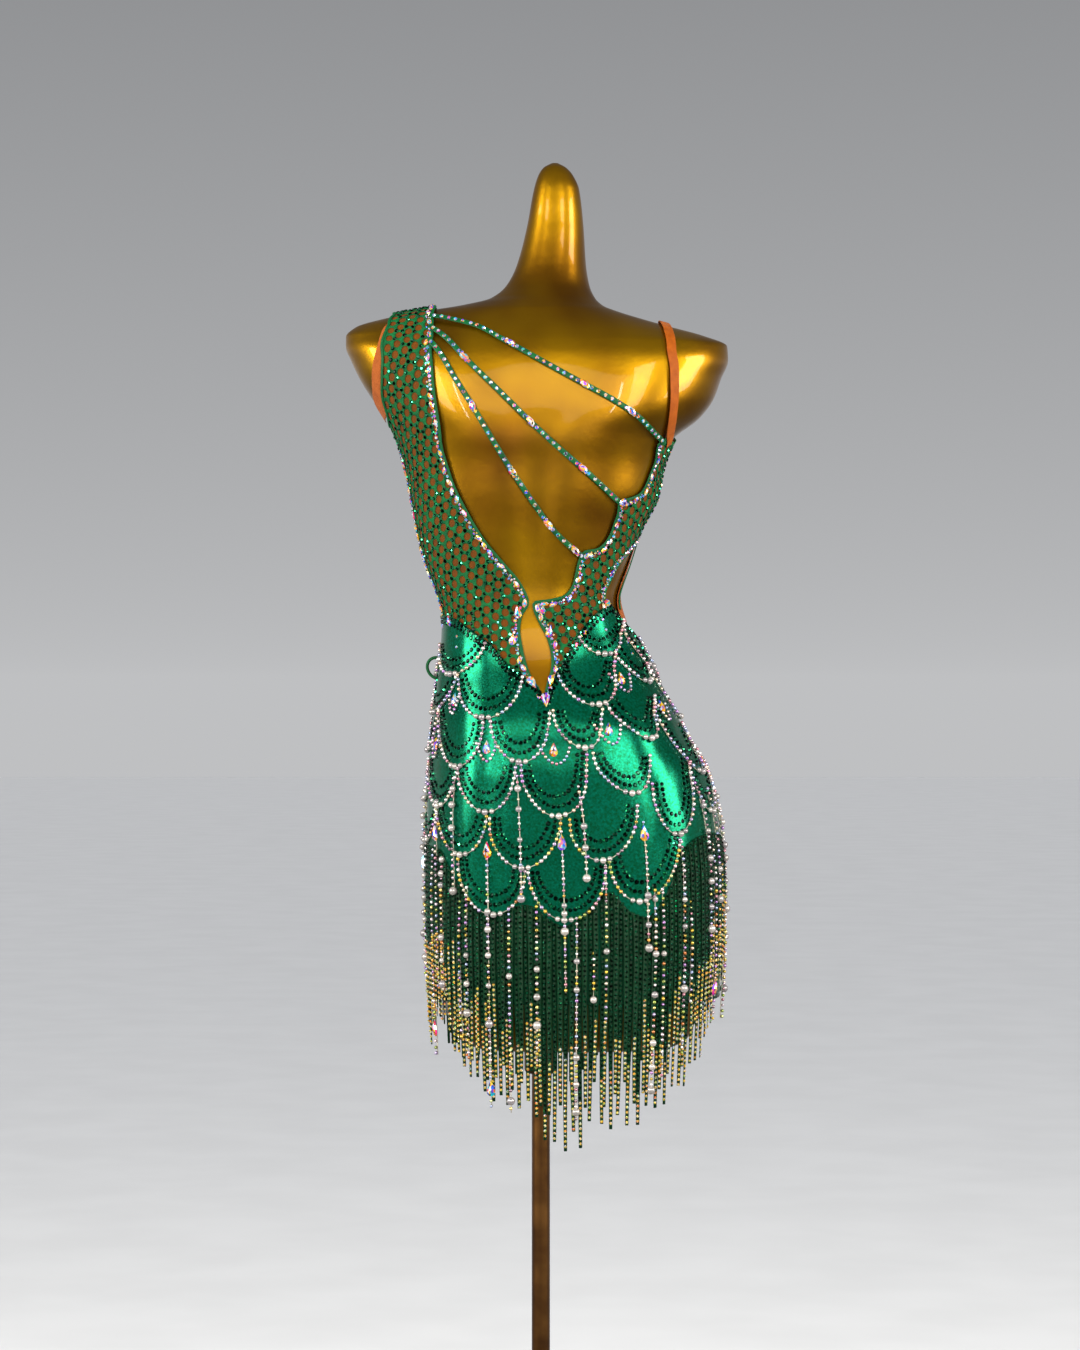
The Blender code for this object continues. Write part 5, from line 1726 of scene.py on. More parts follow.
# ------------ straps and bindings
@dataclass
class ThinStraps:
    """The three turned tapes over the back, with a row of stones and a few navettes."""

    half_width: float = 3.1
    half_height: float = 0.85
    end_free: float = 2.2
    drop: float = 0.8
    cad_steps: int = 14
    steps: int = 84
    rings: int = 120
    pitch: float = 8.8
    bare_ends: tuple[float, float] = (7.0, 3.0)
    wander: float = 0.8
    stone: float = 2.3
    stone_height: float = 1.7
    navette: tuple[float, float, float] = (6.8, 3.7, 2.9)
    navette_room: float = 6.5
    side_stone: float = 1.9
    side_stones_at: tuple[float, float] = (-5.2, 5.0)
    navettes: dict[str, tuple[float, ...]] = field(default_factory=lambda: {
        "back_strap_upper": (36.0, -50.0, -103.0), "back_strap_middle": (84.0, 11.0, -51.0),
        "back_strap_lower": (76.0, 29.0, -11.0, -37.0)})

    def path(self, stops: Sequence[Stop]) -> Path:
        """Lay a strap, which lies on the panels at its ends and closer to the body between them.

        Args:
            stops: The x and height of points that it passes.

        Returns:
            Its middle line.
        """
        places = BODY.places_for(smooth_stops(stops, self.steps))
        step = np.arange(self.steps + 1) * self.cad_steps / self.steps
        free = np.maximum(np.minimum(step, self.cad_steps - step) - 1.0, 0.0)
        lift = np.maximum(over_panel(places[:, 1]) - self.drop * free, self.end_free)
        return Path(places, lift + self.half_height)

    def build(self) -> None:
        """Make each strap and its stones."""
        tints = Tints(11)
        for name, stops in THIN_STRAPS.items():
            path = self.path(stops)
            tape, stones = MeshBuffer(), MeshBuffer()
            tape.add_tube(path.evenly(self.rings), self.half_width, self.half_height, 12, 3.0)
            settle(tape, f"{name}_tape", SATIN, name)
            start, end = self.bare_ends
            reach = np.arange(start, path.length - end, self.pitch)
            reach = reach + tints.random.uniform(-self.wander, self.wander, len(reach))
            x = path.at(reach).points[:, 0]
            spots = [float(reach[int(np.argmin(np.abs(x - goal)))]) for goal in self.navettes[name]]
            apart = np.min(np.abs(reach[:, None] - np.array(spots)[None, :]), axis=1)
            seats = path.at(reach[apart > self.navette_room])
            stones.add_copies(Cut.STONE, seats.moved(seats.normal * self.half_height * 0.9),
                              (self.stone, self.stone, self.stone_height),
                              tints.draw(Tints.AURORA_AND_GLINTS, len(seats.points)), Tints.FLASH)
            for spot in spots:
                self.add_cluster(stones, path, spot, tints)
            settle(stones, f"{name}_stones", AURORA_GLASS)

    def add_cluster(self, stones: MeshBuffer, path: Path, spot: float, tints: Tints) -> None:
        """Gather a navette with a small round stone at each side of it.

        Args:
            stones: Where they are gathered.
            path: The strap's line.
            spot: The navette's distance along it.
            tints: The draw of colours.
        """
        seats = path.at(spot + np.array([0.0, *self.side_stones_at]))
        across = np.cross(seats.normal, seats.along)
        turn = tints.random.uniform(-0.3, 0.3)
        seats = seats.moved(seats.normal * self.half_height * 0.95)
        tint = tints.draw(Tints.AURORA_AND_GLINTS, 3)
        first, others = seats.where(slice(0, 1)), seats.where(slice(1, 3))
        first.along = first.along + across[:1] * turn
        stones.add_copies(Cut.NAVETTE, first, self.navette, tint[:1], Tints.VIVID)
        stones.add_copies(Cut.STONE, others.moved(across[1:] * np.array([[1.6], [-1.6]])),
                          self.side_stone, tint[1:], Tints.VIVID)


@dataclass
class NudeStrap:
    """The plain elastic strap over the right shoulder."""

    half_width: float = 5.7
    half_height: float = 0.6
    steps: int = 60
    rings: int = 160
    bow: float = 5.0
    slack: tuple[tuple[float, ...], tuple[float, ...]] = ((0, 12, 30, 50), (0.3, 0.1, -1, -2))

    def places(self) -> np.ndarray:
        """Lay the strap up the back, straight over the shoulder and down the front.

        Returns:
            The places of its middle line.
        """
        rise = BODY.places_for(smooth_stops(NUDE_BACK, self.steps))
        fall = BODY.places_for(smooth_stops(NUDE_FRONT, self.steps), True) + (360.0, 0.0)
        first, last = BODY.point(*rise[-1]), BODY.point(*fall[0])
        share = np.linspace(0.0, 1.0, self.steps)[1:-1]
        x = first[0] + (last[0] - first[0]) * share + self.bow * np.sin(np.pi * share)
        over = BODY.over_shoulder(x, first[1] + (last[1] - first[1]) * share)
        over[:, 0] %= 360.0
        return np.concatenate([rise, over, fall])

    def build(self) -> None:
        """Make the strap, which lies closest to the body between its ends."""
        places = self.places()
        plain = Path(places, 2.0)
        from_end = np.minimum(plain.reach, plain.length - plain.reach)
        lift = over_panel(places[:, 1]) + np.interp(from_end, *self.slack)
        path = Path(places, lift + self.half_height)
        strap = MeshBuffer()
        strap.add_tube(path.evenly(self.rings), self.half_width, self.half_height, 12, 5.0)
        piece = settle(strap, "nude_elastic_strap", ELASTIC, "nude_strap")


EDGE_DROPS = (  # x, height, turn of its point from straight up, half length, half width, lift
    (25.0, 1071.5, 8.0, 7.6, 4.2, 0.6), (30.5, 1040.0, -4.0, 7.0, 4.0, 0.6),
    (-10.5, 1049.0, -16.0, 7.4, 3.8, 0.6), (8.5, 989.5, 214.0, 8.0, 4.6, 2.2),
    (-12.0, 991.0, 174.0, 7.2, 3.6, 2.2), (-6.5, 970.0, 184.0, 8.6, 4.7, 2.4),
    (-2.0, 1072.5, 40.0, 4.4, 4.0, 0.6), (-72.5, 1081.0, 0.0, 4.6, 4.4, 1.0),
    (-90.5, 1196.0, 0.0, 5.0, 4.9, 1.8), (-50.0, 1135.0, 0.0, 3.2, 3.1, 1.4),
    (99.0, 1062.0, 14.0, 6.6, 3.6, 0.9))


@dataclass
class EdgeTrim:
    """Knitted binding on the edges of the bodice, with chains of coated stones beside it."""

    half_width: float = 1.9
    half_height: float = 0.85
    bound_share: float = 0.42
    seam_inset: float = 5.0
    seam_heights: tuple[float, float] = (1262.0, 1052.0)
    navette: tuple[float, float, float] = (5.4, 2.9, 2.4)
    stones: tuple[float, ...] = (1.7, 2.1, 2.3)
    stone_height: float = 1.6
    side_stone: tuple[float, float, float] = (1.4, 1.4, 1.1)
    drop_height: float = 3.2
    seed: int = 21

    def chain(self, buffer: MeshBuffer, path: Path, tints: Tints, navettes: float = 0.3,
              beside: float = 0.55) -> None:
        """Gather a chain of round stones and navettes, two abreast in places.

        Args:
            buffer: Where it is gathered.
            path: The chain's middle line, on the cloth.
            tints: The draw of colours.
            navettes: The share of navettes among the stones.
            beside: The share of stones with a small one beside them.
        """
        random = tints.random
        reach, side, rows = 3.0, 1.0, []
        while reach < path.length - 2.0:
            if random.random() < navettes:
                rows.append((reach + 5.2, side * 0.8, *self.navette, random.uniform(-0.5, 0.5)))
                small = reach + 5.2 + random.uniform(-3.0, 3.0)
                reach += 10.2
            else:
                size = random.choice(self.stones)
                rows.append((reach + size, side * 0.9, size, size, self.stone_height, 0.0))
                small = reach + 1.6 * size
                reach += 2.0 * size + 0.5
            if random.random() < beside:
                rows.append((small, side * -2.5, *self.side_stone, 0.0))
            side = -side if random.random() < 0.6 else side
        table = np.array(rows)
        seats = path.at(table[:, 0])
        across = np.cross(seats.normal, seats.along)
        seats = seats.moved(across * table[:, 1:2])
        seats.along = seats.along * np.cos(table[:, 5:6]) + across * np.sin(table[:, 5:6])
        tint = tints.draw(Tints.AURORA_AND_GLINTS, len(table))
        long = table[:, 2] > 4.0
        for cut, chosen, coating_and_glints in ((Cut.NAVETTE, long, Tints.VIVID),
                                     (Cut.STONE, ~long, Tints.FLASH)):
            buffer.add_copies(cut, seats.where(chosen), table[chosen][:, 2:5], tint[chosen],
                              coating_and_glints)

    def build(self, left: NetPanel, right: NetPanel, front: NetPanel) -> None:
        """Bind and stone the edges of the three panels.

        Args:
            left: The left back panel with its shoulder.
            right: The small right back panel.
            front: The front panel.
        """
        cloth, glass = MeshBuffer(), MeshBuffer()
        tints = Tints(self.seed)
        edges = (  # places, inward shift, share of navettes; a shift of 0 leaves the chain off
            (left.rows[:, -1], -3.9, 0.34),
            (right.rows[:, -1], 3.9, 0.24),
            (front.rows[:, -1], 3.9, 0.3),
            (right.rows[:, 0], -3.2, 0.12),
            (left.rows[:int(len(left.rows) * self.bound_share), 0], 0.0, 0.0),
            (front.rows[:int(len(front.rows) * self.bound_share), 0], 0.0, 0.0))
        for places, inward, navettes in edges:
            path = Path(places, CLOTH_OUT + 0.35 + chest_ease(places[:, 1]))
            cloth.add_tube(path.evenly(max(int(path.length / 3.0), 8)), self.half_width,
                           self.half_height, 8, 2.4)
            if inward:
                line = Path(path.beside(inward).places, path.lift - 0.15)
                self.chain(glass, line, tints, navettes)
        settle(cloth, "bodice_bindings", BINDING)
        heights = np.linspace(*self.seam_heights, 60)
        seam = np.stack([np.full(60, SEAM_LEFT + self.seam_inset), heights], -1)
        self.chain(glass, Path(seam, CLOTH_OUT + 0.2 + chest_ease(heights)), tints, 0.6, 0.2)
        self.add_drops(glass, tints)
        settle(glass, "bodice_edge_stones", AURORA_GLASS)
        self.bind_waist()

    def add_drops(self, glass: MeshBuffer, tints: Tints) -> None:
        """Gather the large stones that are placed one by one round the keyhole and the waist.

        Args:
            glass: Where they are gathered.
            tints: The draw of colours.
        """
        table = np.array(EDGE_DROPS, float)
        places = BODY.places_for(table[:, :2])
        lift = CLOTH_OUT + 0.6 + chest_ease(places[:, 1]) + table[:, 5]
        seats = Seats.single(places, lift, np.radians(90.0 + table[:, 2]))
        tint = tints.draw(Tints.AURORA_AND_GLINTS, len(table))
        sizes = np.c_[table[:, 3:5], np.full(len(table), self.drop_height)]
        drop = table[:, 3] > table[:, 4] * 1.4
        for cut, chosen in ((Cut.DROP, drop), (Cut.ROUND, ~drop)):
            glass.add_copies(cut, seats.where(chosen), sizes[chosen], tint[chosen], Tints.VIVID)

    def bind_waist(self) -> None:
        """Make the dark binding of the right waist cut-out."""
        table = [(edge.back_angle + 1.5, edge.height) for edge in WAIST_INSERT_EDGES[:-1]]
        band = MeshBuffer()
        band.add_tube(Path(smooth_stops(table, 40), SKIRT_IN + 0.5).evenly(48), 2.0, 0.7, 8, 2.6)
        settle(band, "waist_cut_out_binding", BINDING, "waist_binding")


# ------------ the skirt
def foil_pucker(angle: np.ndarray, height: np.ndarray) -> np.ndarray:
    """Return how far the skirt's cloth stands out in soft puckers.

    Args:
        angle: Angles round the body, in degrees.
        height: Heights above the floor.

    Returns:
        Distances in millimetres.
    """
    turn = np.radians(angle)
    soft = (np.sin(9.0 * turn + height / 37.0) * np.sin(height / 23.0 + 2.0 * turn)
            + 0.6 * np.sin(17.0 * turn - height / 19.0)
            + 0.5 * np.sin(5.0 * turn + height / 11.0 + 1.3))
    return 0.16 * soft


@dataclass
class FoilSkirt:
    """The close skirt of foiled lycra, as one tube of cloth with soft puckers."""

    columns: int = 260
    levels: int = 84
    crowding: float = 1.1
    hem: float = 632.0
    wall: float = 0.7
    flat: tuple[float, float] = (1010.0, 455.0)

    def build(self) -> None:
        """Make the cloth from its shaped rim to the hem."""
        angles = 360.0 * np.arange(self.columns) / self.columns
        top = rim_height(angles)
        share = np.linspace(0.0, 1.0, self.levels + 1)[:, None] ** self.crowding
        height = top[None, :] + (self.hem - top[None, :]) * share
        turn = np.broadcast_to(angles[None, :], height.shape)
        pucker = foil_pucker(turn, height)
        cloth = MeshBuffer()
        cloth.add_cloth(np.stack([turn, height], -1), SKIRT_OUT - self.wall + pucker,
                        SKIRT_OUT + pucker, True, True)
        settle(cloth, "foil_skirt", FOIL, "skirt")


STRAY_STONES = (  # x, height
    (-67.8, 1062.0), (-71.8, 1049.7), (-95.7, 1035.4), (-101.0, 1022.0), (-103.2, 1036.7),
    (90.9, 1043.4), (90.9, 1031.3))


@dataclass
class ScaleTrim:
    """Swags of beads round each scale of the skirt, with rows of dark stones inside them."""

    bead: float = 2.25
    bead_pitch: float = 6.0
    pearls: tuple[float, ...] = (3.0, 3.8, 3.0)
    stone: float = 2.7
    stone_height: float = 1.7
    stone_pitch: float = 6.0
    drop: tuple[float, float, float] = (7.8, 4.6, 3.4)
    stray: tuple[float, float, float] = (1.8, 1.8, 1.4)
    stem: float = 22.0
    roundness: float = 0.42
    insets: tuple[tuple[float, float], ...] = ((5.2, 10.5), (11.6, 21.5))
    full_size: tuple[float, float] = (58.0, 54.0)
    row_room: float = 4.6
    rim_insets: tuple[float, float] = (3.0, 8.8)
    rim_stone_height: float = 1.3
    back: tuple[float, float] = (25.0, 155.0)
    golden_from_row: int = 4
    pearls_room: float = 12.6
    pearl_pitch: float = 7.6
    seed: int = 31

    def __post_init__(self) -> None:
        """Start with nothing gathered."""
        self.tints = Tints(self.seed)
        self.beads, self.milky, self.dark, self.drops, self.threads = (
            MeshBuffer() for _ in range(5))

    def level(self, scale: Scale, angle: np.ndarray) -> np.ndarray:
        """Return the height of a scale's swag.

        Args:
            scale: The scale.
            angle: Angles round the body, in degrees.

        Returns:
            The height at each angle.
        """
        share = np.clip((angle - scale.start) / (scale.end - scale.start), 0.0, 1.0)
        middle = (scale.low - scale.start) / (scale.end - scale.start)
        warped = share ** (math.log(0.5) / math.log(middle))
        chord = scale.start_height + (scale.end_height - scale.start_height) * share
        drop = scale.start_height + (scale.end_height - scale.start_height) * middle
        return chord + self.stem - (drop + self.stem - scale.low_height) * (
            np.sin(np.pi * warped) ** self.roundness)

    def covered(self, row: int, places: np.ndarray, margin: float) -> np.ndarray:
        """Tell which places lie under the scales of the rows above, or beyond the rim.

        Args:
            row: The row's number from the waist.
            places: An (n, 2) array of angles and heights.
            margin: How close below a swag or the rim a place counts as covered.

        Returns:
            One answer for each place.
        """
        angle, height = places[:, 0], places[:, 1]
        found = height > rim_height(angle) - margin
        for above in SCALE_ROWS[:row]:
            for scale in above:
                for turn in (-360.0, 0.0, 360.0):
                    here = angle + turn
                    across = (here >= scale.start) & (here <= scale.end)
                    found |= across & (height > self.level(scale, here) - margin)
        return found

    def swag(self, scale: Scale) -> Path:
        """Return the line of a scale's swag, whose ends rise plumb and not along the body.

        Args:
            scale: The scale.

        Returns:
            The line.
        """
        angle = np.linspace(scale.start, scale.end, 90)
        height = self.level(scale, angle)
        chord = np.interp(angle, (scale.start, scale.end), (scale.start_height,
                                                            scale.end_height))
        back = (angle > self.back[0]) & (angle < self.back[1]) & (height > chord)
        plumb = BODY.angle_for(BODY.point(angle[back], chord[back])[:, 0], height[back])
        angle[back] = plumb
        return Path(np.stack([angle, height], -1), SKIRT_OUT, True)

    def build(self) -> None:
        """Make the beads, pearls and stones of every scale."""
        for row, scales in enumerate(SCALE_ROWS):
            for scale in scales:
                self.add_swag(row, scale)
                self.add_rows(row, scale)
        for drop in SMALL_DROPS:
            self.add_small_drop(drop)
        angle = np.linspace(-90.0, 270.0, 900)
        for inset in self.rim_insets:
            path = Path(np.stack([angle, rim_height(angle) - inset], -1), SKIRT_OUT, True)
            self.add_dark(path.at(np.arange(0.0, path.length - 2.0, self.stone_pitch)),
                          self.rim_stone_height)
        self.add_strays()
        settle(self.beads, "scale_beads", AURORA_BEAD,
               *(f"garland_{number}" for number in range(1, 10)))
        settle(self.milky, "scale_pearls", PEARL)
        settle(self.threads, "scale_threads", THREAD)
        settle(self.dark, "scale_stones", FOREST_GLASS)
        settle(self.drops, "scale_drops", AURORA_GLASS)

    def add_swag(self, row: int, scale: Scale) -> None:
        """Gather a scale's swag of beads, with three pearls at its lowest point.

        Args:
            row: The row's number from the waist.
            scale: The scale.
        """
        path, tints = self.swag(scale), self.tints
        reach = np.arange(self.bead, path.length, self.bead_pitch)
        seats = path.at(reach)
        lowest = reach[int(np.argmin(seats.points[:, 2]))]
        keep = ~self.covered(row, seats.places, 1.0) & ~(np.abs(reach - lowest) < self.pearls_room)
        line = path.evenly(42)
        shown = np.flatnonzero(~self.covered(row, line.places, 1.0))
        for run in np.split(shown, np.flatnonzero(np.diff(shown) > 1) + 1):
            if len(run) > 1:
                part = line.where(run)
                self.threads.add_tube(part.moved(part.normal * 1.2), 0.42, 0.42, 4)
        codes = Tints.BLUSH if row < self.golden_from_row else Tints.BLUSH + Tints.GOLDEN
        size = self.bead * tints.random.uniform(0.9, 1.08, len(reach))
        self.beads.add_copies(Cut.BEAD, seats.on_foil().where(keep), size[keep, None],
                              tints.draw(codes, int(keep.sum())))
        spots = lowest + self.pearl_pitch * np.array([-1.0, 0.0, 1.0])
        self.milky.add_copies(Cut.PEARL, path.at(spots), np.array(self.pearls)[:, None],
                              tints.draw(Tints.PEARL, 3))

    def add_rows(self, row: int, scale: Scale) -> None:
        """Gather the rows of dark stones inside a scale's swag.

        Args:
            row: The row's number from the waist.
            scale: The scale.
        """
        ends = np.array([(scale.start, scale.low_height), (scale.end, scale.low_height)])
        width = Path(ends, SKIRT_OUT, True).length
        depth = (scale.start_height + scale.end_height) / 2.0 - scale.low_height
        less = min(1.0, width / self.full_size[0], (depth + self.stem) / self.full_size[1])
        for side, bottom in self.insets:
            turn = side * less * (scale.end - scale.start) / width
            path = self.swag(scale._replace(start=scale.start + turn, end=scale.end - turn,
                                            low_height=scale.low_height + bottom * less))
            seats = path.at(np.arange(self.stone, path.length, self.stone_pitch))
            self.add_dark(seats.where(~self.covered(row, seats.places, self.row_room)),
                          self.stone_height)

    def add_dark(self, seats: Seats, height: float) -> None:
        """Gather dark stones on the foil.

        Args:
            seats: Where they sit.
            height: How high they stand.
        """
        count = len(seats.points)
        size = self.stone * self.tints.random.uniform(0.92, 1.1, count)
        self.dark.add_copies(Cut.CHATON, seats.on_foil(), np.c_[size, size, np.full(count, height)],
                             self.tints.draw(Tints.EMERALD, count), Tints.GLINT)

    def add_small_drop(self, drop: Drop) -> None:
        """Gather one small drop stone, point up, in a little loop of beads.

        Args:
            drop: Its angle and height.
        """
        seat = Seats.single(np.array([drop], float), SKIRT_OUT + 0.2, math.pi / 2.0, True)
        self.drops.add_copies(Cut.DROP, seat, self.drop, self.tints.draw(Tints.AURORA_AND_GLINTS, 1),
                              Tints.VIVID)
        half = np.degrees(11.5 / np.linalg.norm(seat.points[0, :2] - (-30.0, 0.0)))
        share = np.linspace(-1.0, 1.0, 40) * 0.999
        height = drop.height + 5.0 - 21.0 * np.cos(share * np.pi / 2.0) ** 0.9
        loop = Path(np.stack([drop.angle + share * half, height], -1), SKIRT_OUT, True)
        seats = loop.at(np.arange(1.0, loop.length, 5.0))
        self.beads.add_copies(Cut.BEAD, seats, 1.9,
                              self.tints.draw(Tints.BLUSH, len(seats.points)))

    def add_strays(self) -> None:
        """Gather the few coated stones inside the small scales beside the waist."""
        seats = Seats.single(BODY.places_for(STRAY_STONES), SKIRT_OUT, 0.0, True)
        self.drops.add_copies(Cut.STONE, seats, self.stray,
                              self.tints.draw(Tints.AURORA_AND_GLINTS, len(STRAY_STONES)), Tints.FLASH)


@dataclass
class HipLoop:
    """The small cord loop at the left hip."""

    height: float = 1007.0
    angle: float = -4.0
    radius: float = 12.0
    cord: float = 1.8

    def build(self) -> None:
        """Make the loop as a half ring of cord that stands out from the skirt."""
        seat = Seats.single(np.array([(self.angle, self.height)]), SKIRT_OUT + self.cord + 0.3, 0.0)
        centre, normal = seat.points[0], seat.normal[0]
        turn = np.pi * (np.linspace(0.0, 1.0, 48) - 0.5)[:, None]
        up = np.array([0.0, 0.0, 1.0])
        out = normal * np.cos(turn) + up * np.sin(turn)
        along = up * np.cos(turn) - normal * np.sin(turn)
        loop = MeshBuffer()
        loop.add_tube(Seats(centre + out * self.radius, along, out), self.cord, self.cord, 12)
        settle(loop, "hip_cord_loop", BINDING, "hip_loop")


# ------------ fringe and bead strings
FALL_ROOT = Curve([fall.angle for fall in FRINGE_FALLS], [fall.root for fall in FRINGE_FALLS])
FALL_TIP = Curve([fall.angle for fall in FRINGE_FALLS], [fall.tip for fall in FRINGE_FALLS])


@dataclass
class Fringe:
    """Narrow strips of lycra on a tape, dark stones down each and coated ones at its end."""

    count: int = 214
    half_width: float = 3.0
    tip_half_width: float = 1.9
    half_height: float = 0.35
    lift: float = 5.6
    layer: float = 1.3
    free: float = 1.4
    tape: tuple[float, float] = (1.6, 0.6)
    stone: float = 1.75
    stone_height: float = 1.2
    stone_pitch: float = 5.7
    golden_tails: tuple[float, float] = (42.0, 110.0)
    stations: int = 14
    lengths: tuple[float, ...] = (1.0, 0.86, 0.95, 0.78, 0.98, 0.9)
    seed: int = 41

    def __post_init__(self) -> None:
        """Start with nothing gathered."""
        self.tints = Tints(self.seed)
        self.strips, self.dark, self.bright = MeshBuffer(), MeshBuffer(), MeshBuffer()

    def build(self) -> None:
        """Make the tape, the strips and their stones."""
        angle = np.linspace(-90.0, 270.0, 361)
        line = Path(np.stack([angle, FALL_ROOT(angle) + 4.5], -1), self.lift - 0.5, True)
        self.strips.add_tube(line.at(np.linspace(0.0, line.length - 0.5, 420)), *self.tape, 6, 3.0)
        for strip in range(self.count):
            self.add_strip(strip)
        piece = settle(self.strips, "fringe_cloth", STRIP, "fringe_strips")
        LOG.info("%s hangs %d strips", piece.name, self.count)
        settle(self.dark, "fringe_dark_stones", FOREST_GLASS)
        settle(self.bright, "fringe_bright_stones", AURORA_GLASS)

    def add_strip(self, strip: int) -> None:
        """Gather one strip, which sways a little, and its stones.

        Args:
            strip: Its number round the body.
        """
        random = self.tints.random
        angle = -90.0 + 360.0 * (strip + random.uniform(-0.18, 0.18)) / self.count
        root, tip = float(FALL_ROOT(angle)), float(FALL_TIP(angle))
        share = self.lengths[strip % len(self.lengths)] * random.uniform(0.97, 1.0)
        end = root + (tip - root) * share
        down = np.linspace(0.0, 1.0, self.stations)
        sway = random.uniform(-0.5, 0.5) * down ** 2 + 0.12 * np.sin(7.0 * down + strip)
        top = root + 6.0
        places = np.stack([angle + sway, top + (end - top) * down], -1)
        lift = self.lift + self.layer * (strip % 2) + self.free * np.clip(down * 5.0, 0.0, 1.0)
        path = Path(places, lift, True)
        line = path.evenly(self.stations)
        twist = (random.uniform(-0.35, 0.35) * down)[:, None]
        line.normal = (line.normal * np.cos(twist)
                       + np.cross(line.normal, line.along) * np.sin(twist))
        wide = np.interp(down, (0.0, 0.45, 1.0), (self.half_width, self.half_width,
                                                  self.tip_half_width))
        self.strips.add_tube(line, wide, self.half_height, 4)
        reach = np.arange(2.0, path.length - 1.0, self.stone_pitch)
        evenly = np.linspace(0.0, path.length, self.stations)
        seats = path.at(reach)
        seats.normal = np.stack([np.interp(reach, evenly, column) for column in line.normal.T], -1)
        seats = seats.moved(seats.normal * self.half_height)
        tail = random.uniform(*self.golden_tails)
        tail = tail if strip % 3 else tail * 0.7
        golden = reach > path.length - tail
        for buffer, chosen, codes, coating_and_glints in (
                (self.dark, ~golden, Tints.FOREST, Tints.GLINT),
                (self.bright, golden, Tints.GOLDEN, Tints.GILT_AND_GLINTS)):
            buffer.add_copies(Cut.CHATON, seats.where(chosen),
                              (self.stone, self.stone, self.stone_height),
                              self.tints.draw(codes, int(chosen.sum())), coating_and_glints)


@dataclass
class BeadStrings:
    """Strings of small coated beads with pearls, ending in a bead, a pearl or a large drop."""

    bead: float = 1.95
    bead_pitch: float = 6.6
    thread: float = 0.55
    pearl: float = 3.9
    pearl_shares: tuple[float, ...] = (0.84, 0.95, 1.05)
    last_pearl_share: float = 1.25
    drop: tuple[float, float, float] = (9.4, 5.0, 3.8)
    spacing: float = 7.6
    lift: float = 6.4
    free: float = 2.9
    drop_room: float = 10.0
    golden_below: float = 760.0
    seed: int = 51

    def __post_init__(self) -> None:
        """Start with nothing gathered."""
        self.tints = Tints(self.seed)
        self.beads, self.pearls, self.drops, self.threads = (MeshBuffer() for _ in range(4))

    def hidden(self) -> list[BeadString]:
        """Draw the strings of the sides and the front, spaced as those of the back are.

        Returns:
            The strings.
        """
        strings = []
        random = self.tints.random
        angles = np.concatenate([np.arange(start, end, self.spacing)
                                 for start, end in ((-86.0, -3.0), (187.0, 268.0))])
        for number, angle in enumerate(angles):
            root = float(FALL_ROOT(angle)) + random.uniform(4.0, 70.0)
            tip = float(FALL_TIP(angle)) + random.uniform(6.0, 110.0)
            first = root - random.uniform(10.0, 40.0)
            pearls = tuple(np.arange(first, tip + 12.0, -random.uniform(24.0, 40.0)))
            drops = (root - 6.0,) if number % 4 == 0 else ()
            strings.append(BeadString(angle, root, tip, pearls, drops))
        return strings

    def build(self) -> None:
        """Make every string's thread, beads, pearls and drops."""
        for string in BACK_STRINGS + self.hidden():
            self.add_string(string)
        settle(self.beads, "string_beads", AURORA_BEAD, "bead_strings")
        settle(self.pearls, "string_pearls", PEARL)
        settle(self.threads, "string_threads", THREAD)
        settle(self.drops, "string_drops", AURORA_GLASS)

    def add_string(self, string: BeadString) -> None:
        """Gather one string.

        Args:
            string: Its angle, its root and tip, and the heights of its pearls and drops.
        """
        tints, random = self.tints, self.tints.random
        down = np.linspace(0.0, 1.0, 24)
        sway = random.uniform(-0.5, 0.5) * down ** 2
        fall = (string.root - string.tip) * down
        places = np.stack([string.angle + sway, string.root - fall], -1)
        path = Path(places, self.lift + self.free * np.clip(fall / 40.0, 0.0, 1.0), True)
        line = path.evenly(20)
        self.threads.add_tube(line.moved(-line.normal * self.bead), self.thread, self.thread, 5)
        reach = np.arange(0.0, path.length, self.bead_pitch)
        seats = path.at(reach + random.uniform(-0.5, 0.5, len(reach)))
        height, count = seats.points[:, 2], len(reach)
        clear = np.ones(count, bool)
        for room, marks in ((self.pearl + 1.4, string.pearls), (self.drop_room, string.drops)):
            for mark in marks:
                clear &= np.abs(height - mark) > room
        size = self.bead * random.uniform(0.85, 1.15, count)
        tint = np.where((height < self.golden_below)[:, None],
                        tints.draw(Tints.BLUSH + Tints.GOLDEN, count),
                        tints.draw(Tints.BLUSH, count))
        seats = seats.moved(-seats.normal * size[:, None])
        self.beads.add_copies(Cut.BEAD, seats.where(clear), size[clear, None], tint[clear])
        fine = path.at(np.arange(0.0, path.length, 1.0))
        for mark in string.pearls + string.drops:
            spot = int(np.argmin(np.abs(fine.points[:, 2] - mark)))
            seat = fine.where(slice(spot, spot + 1))
            if mark in string.drops:
                seat = Seats(seat.points - seat.normal, -seat.along, seat.normal)
                self.drops.add_copies(Cut.DROP, seat, self.drop, tints.draw(Tints.AURORA_AND_GLINTS, 1),
                                      Tints.VIVID)
                continue
            last = mark == string.pearls[-1] and len(string.pearls) > 1
            size = self.pearl * (self.last_pearl_share if last
                                 else random.choice(self.pearl_shares))
            self.pearls.add_copies(Cut.PEARL, seat.moved(-seat.normal * size * 0.9), size,
                                   tints.draw(Tints.PEARL, 1))


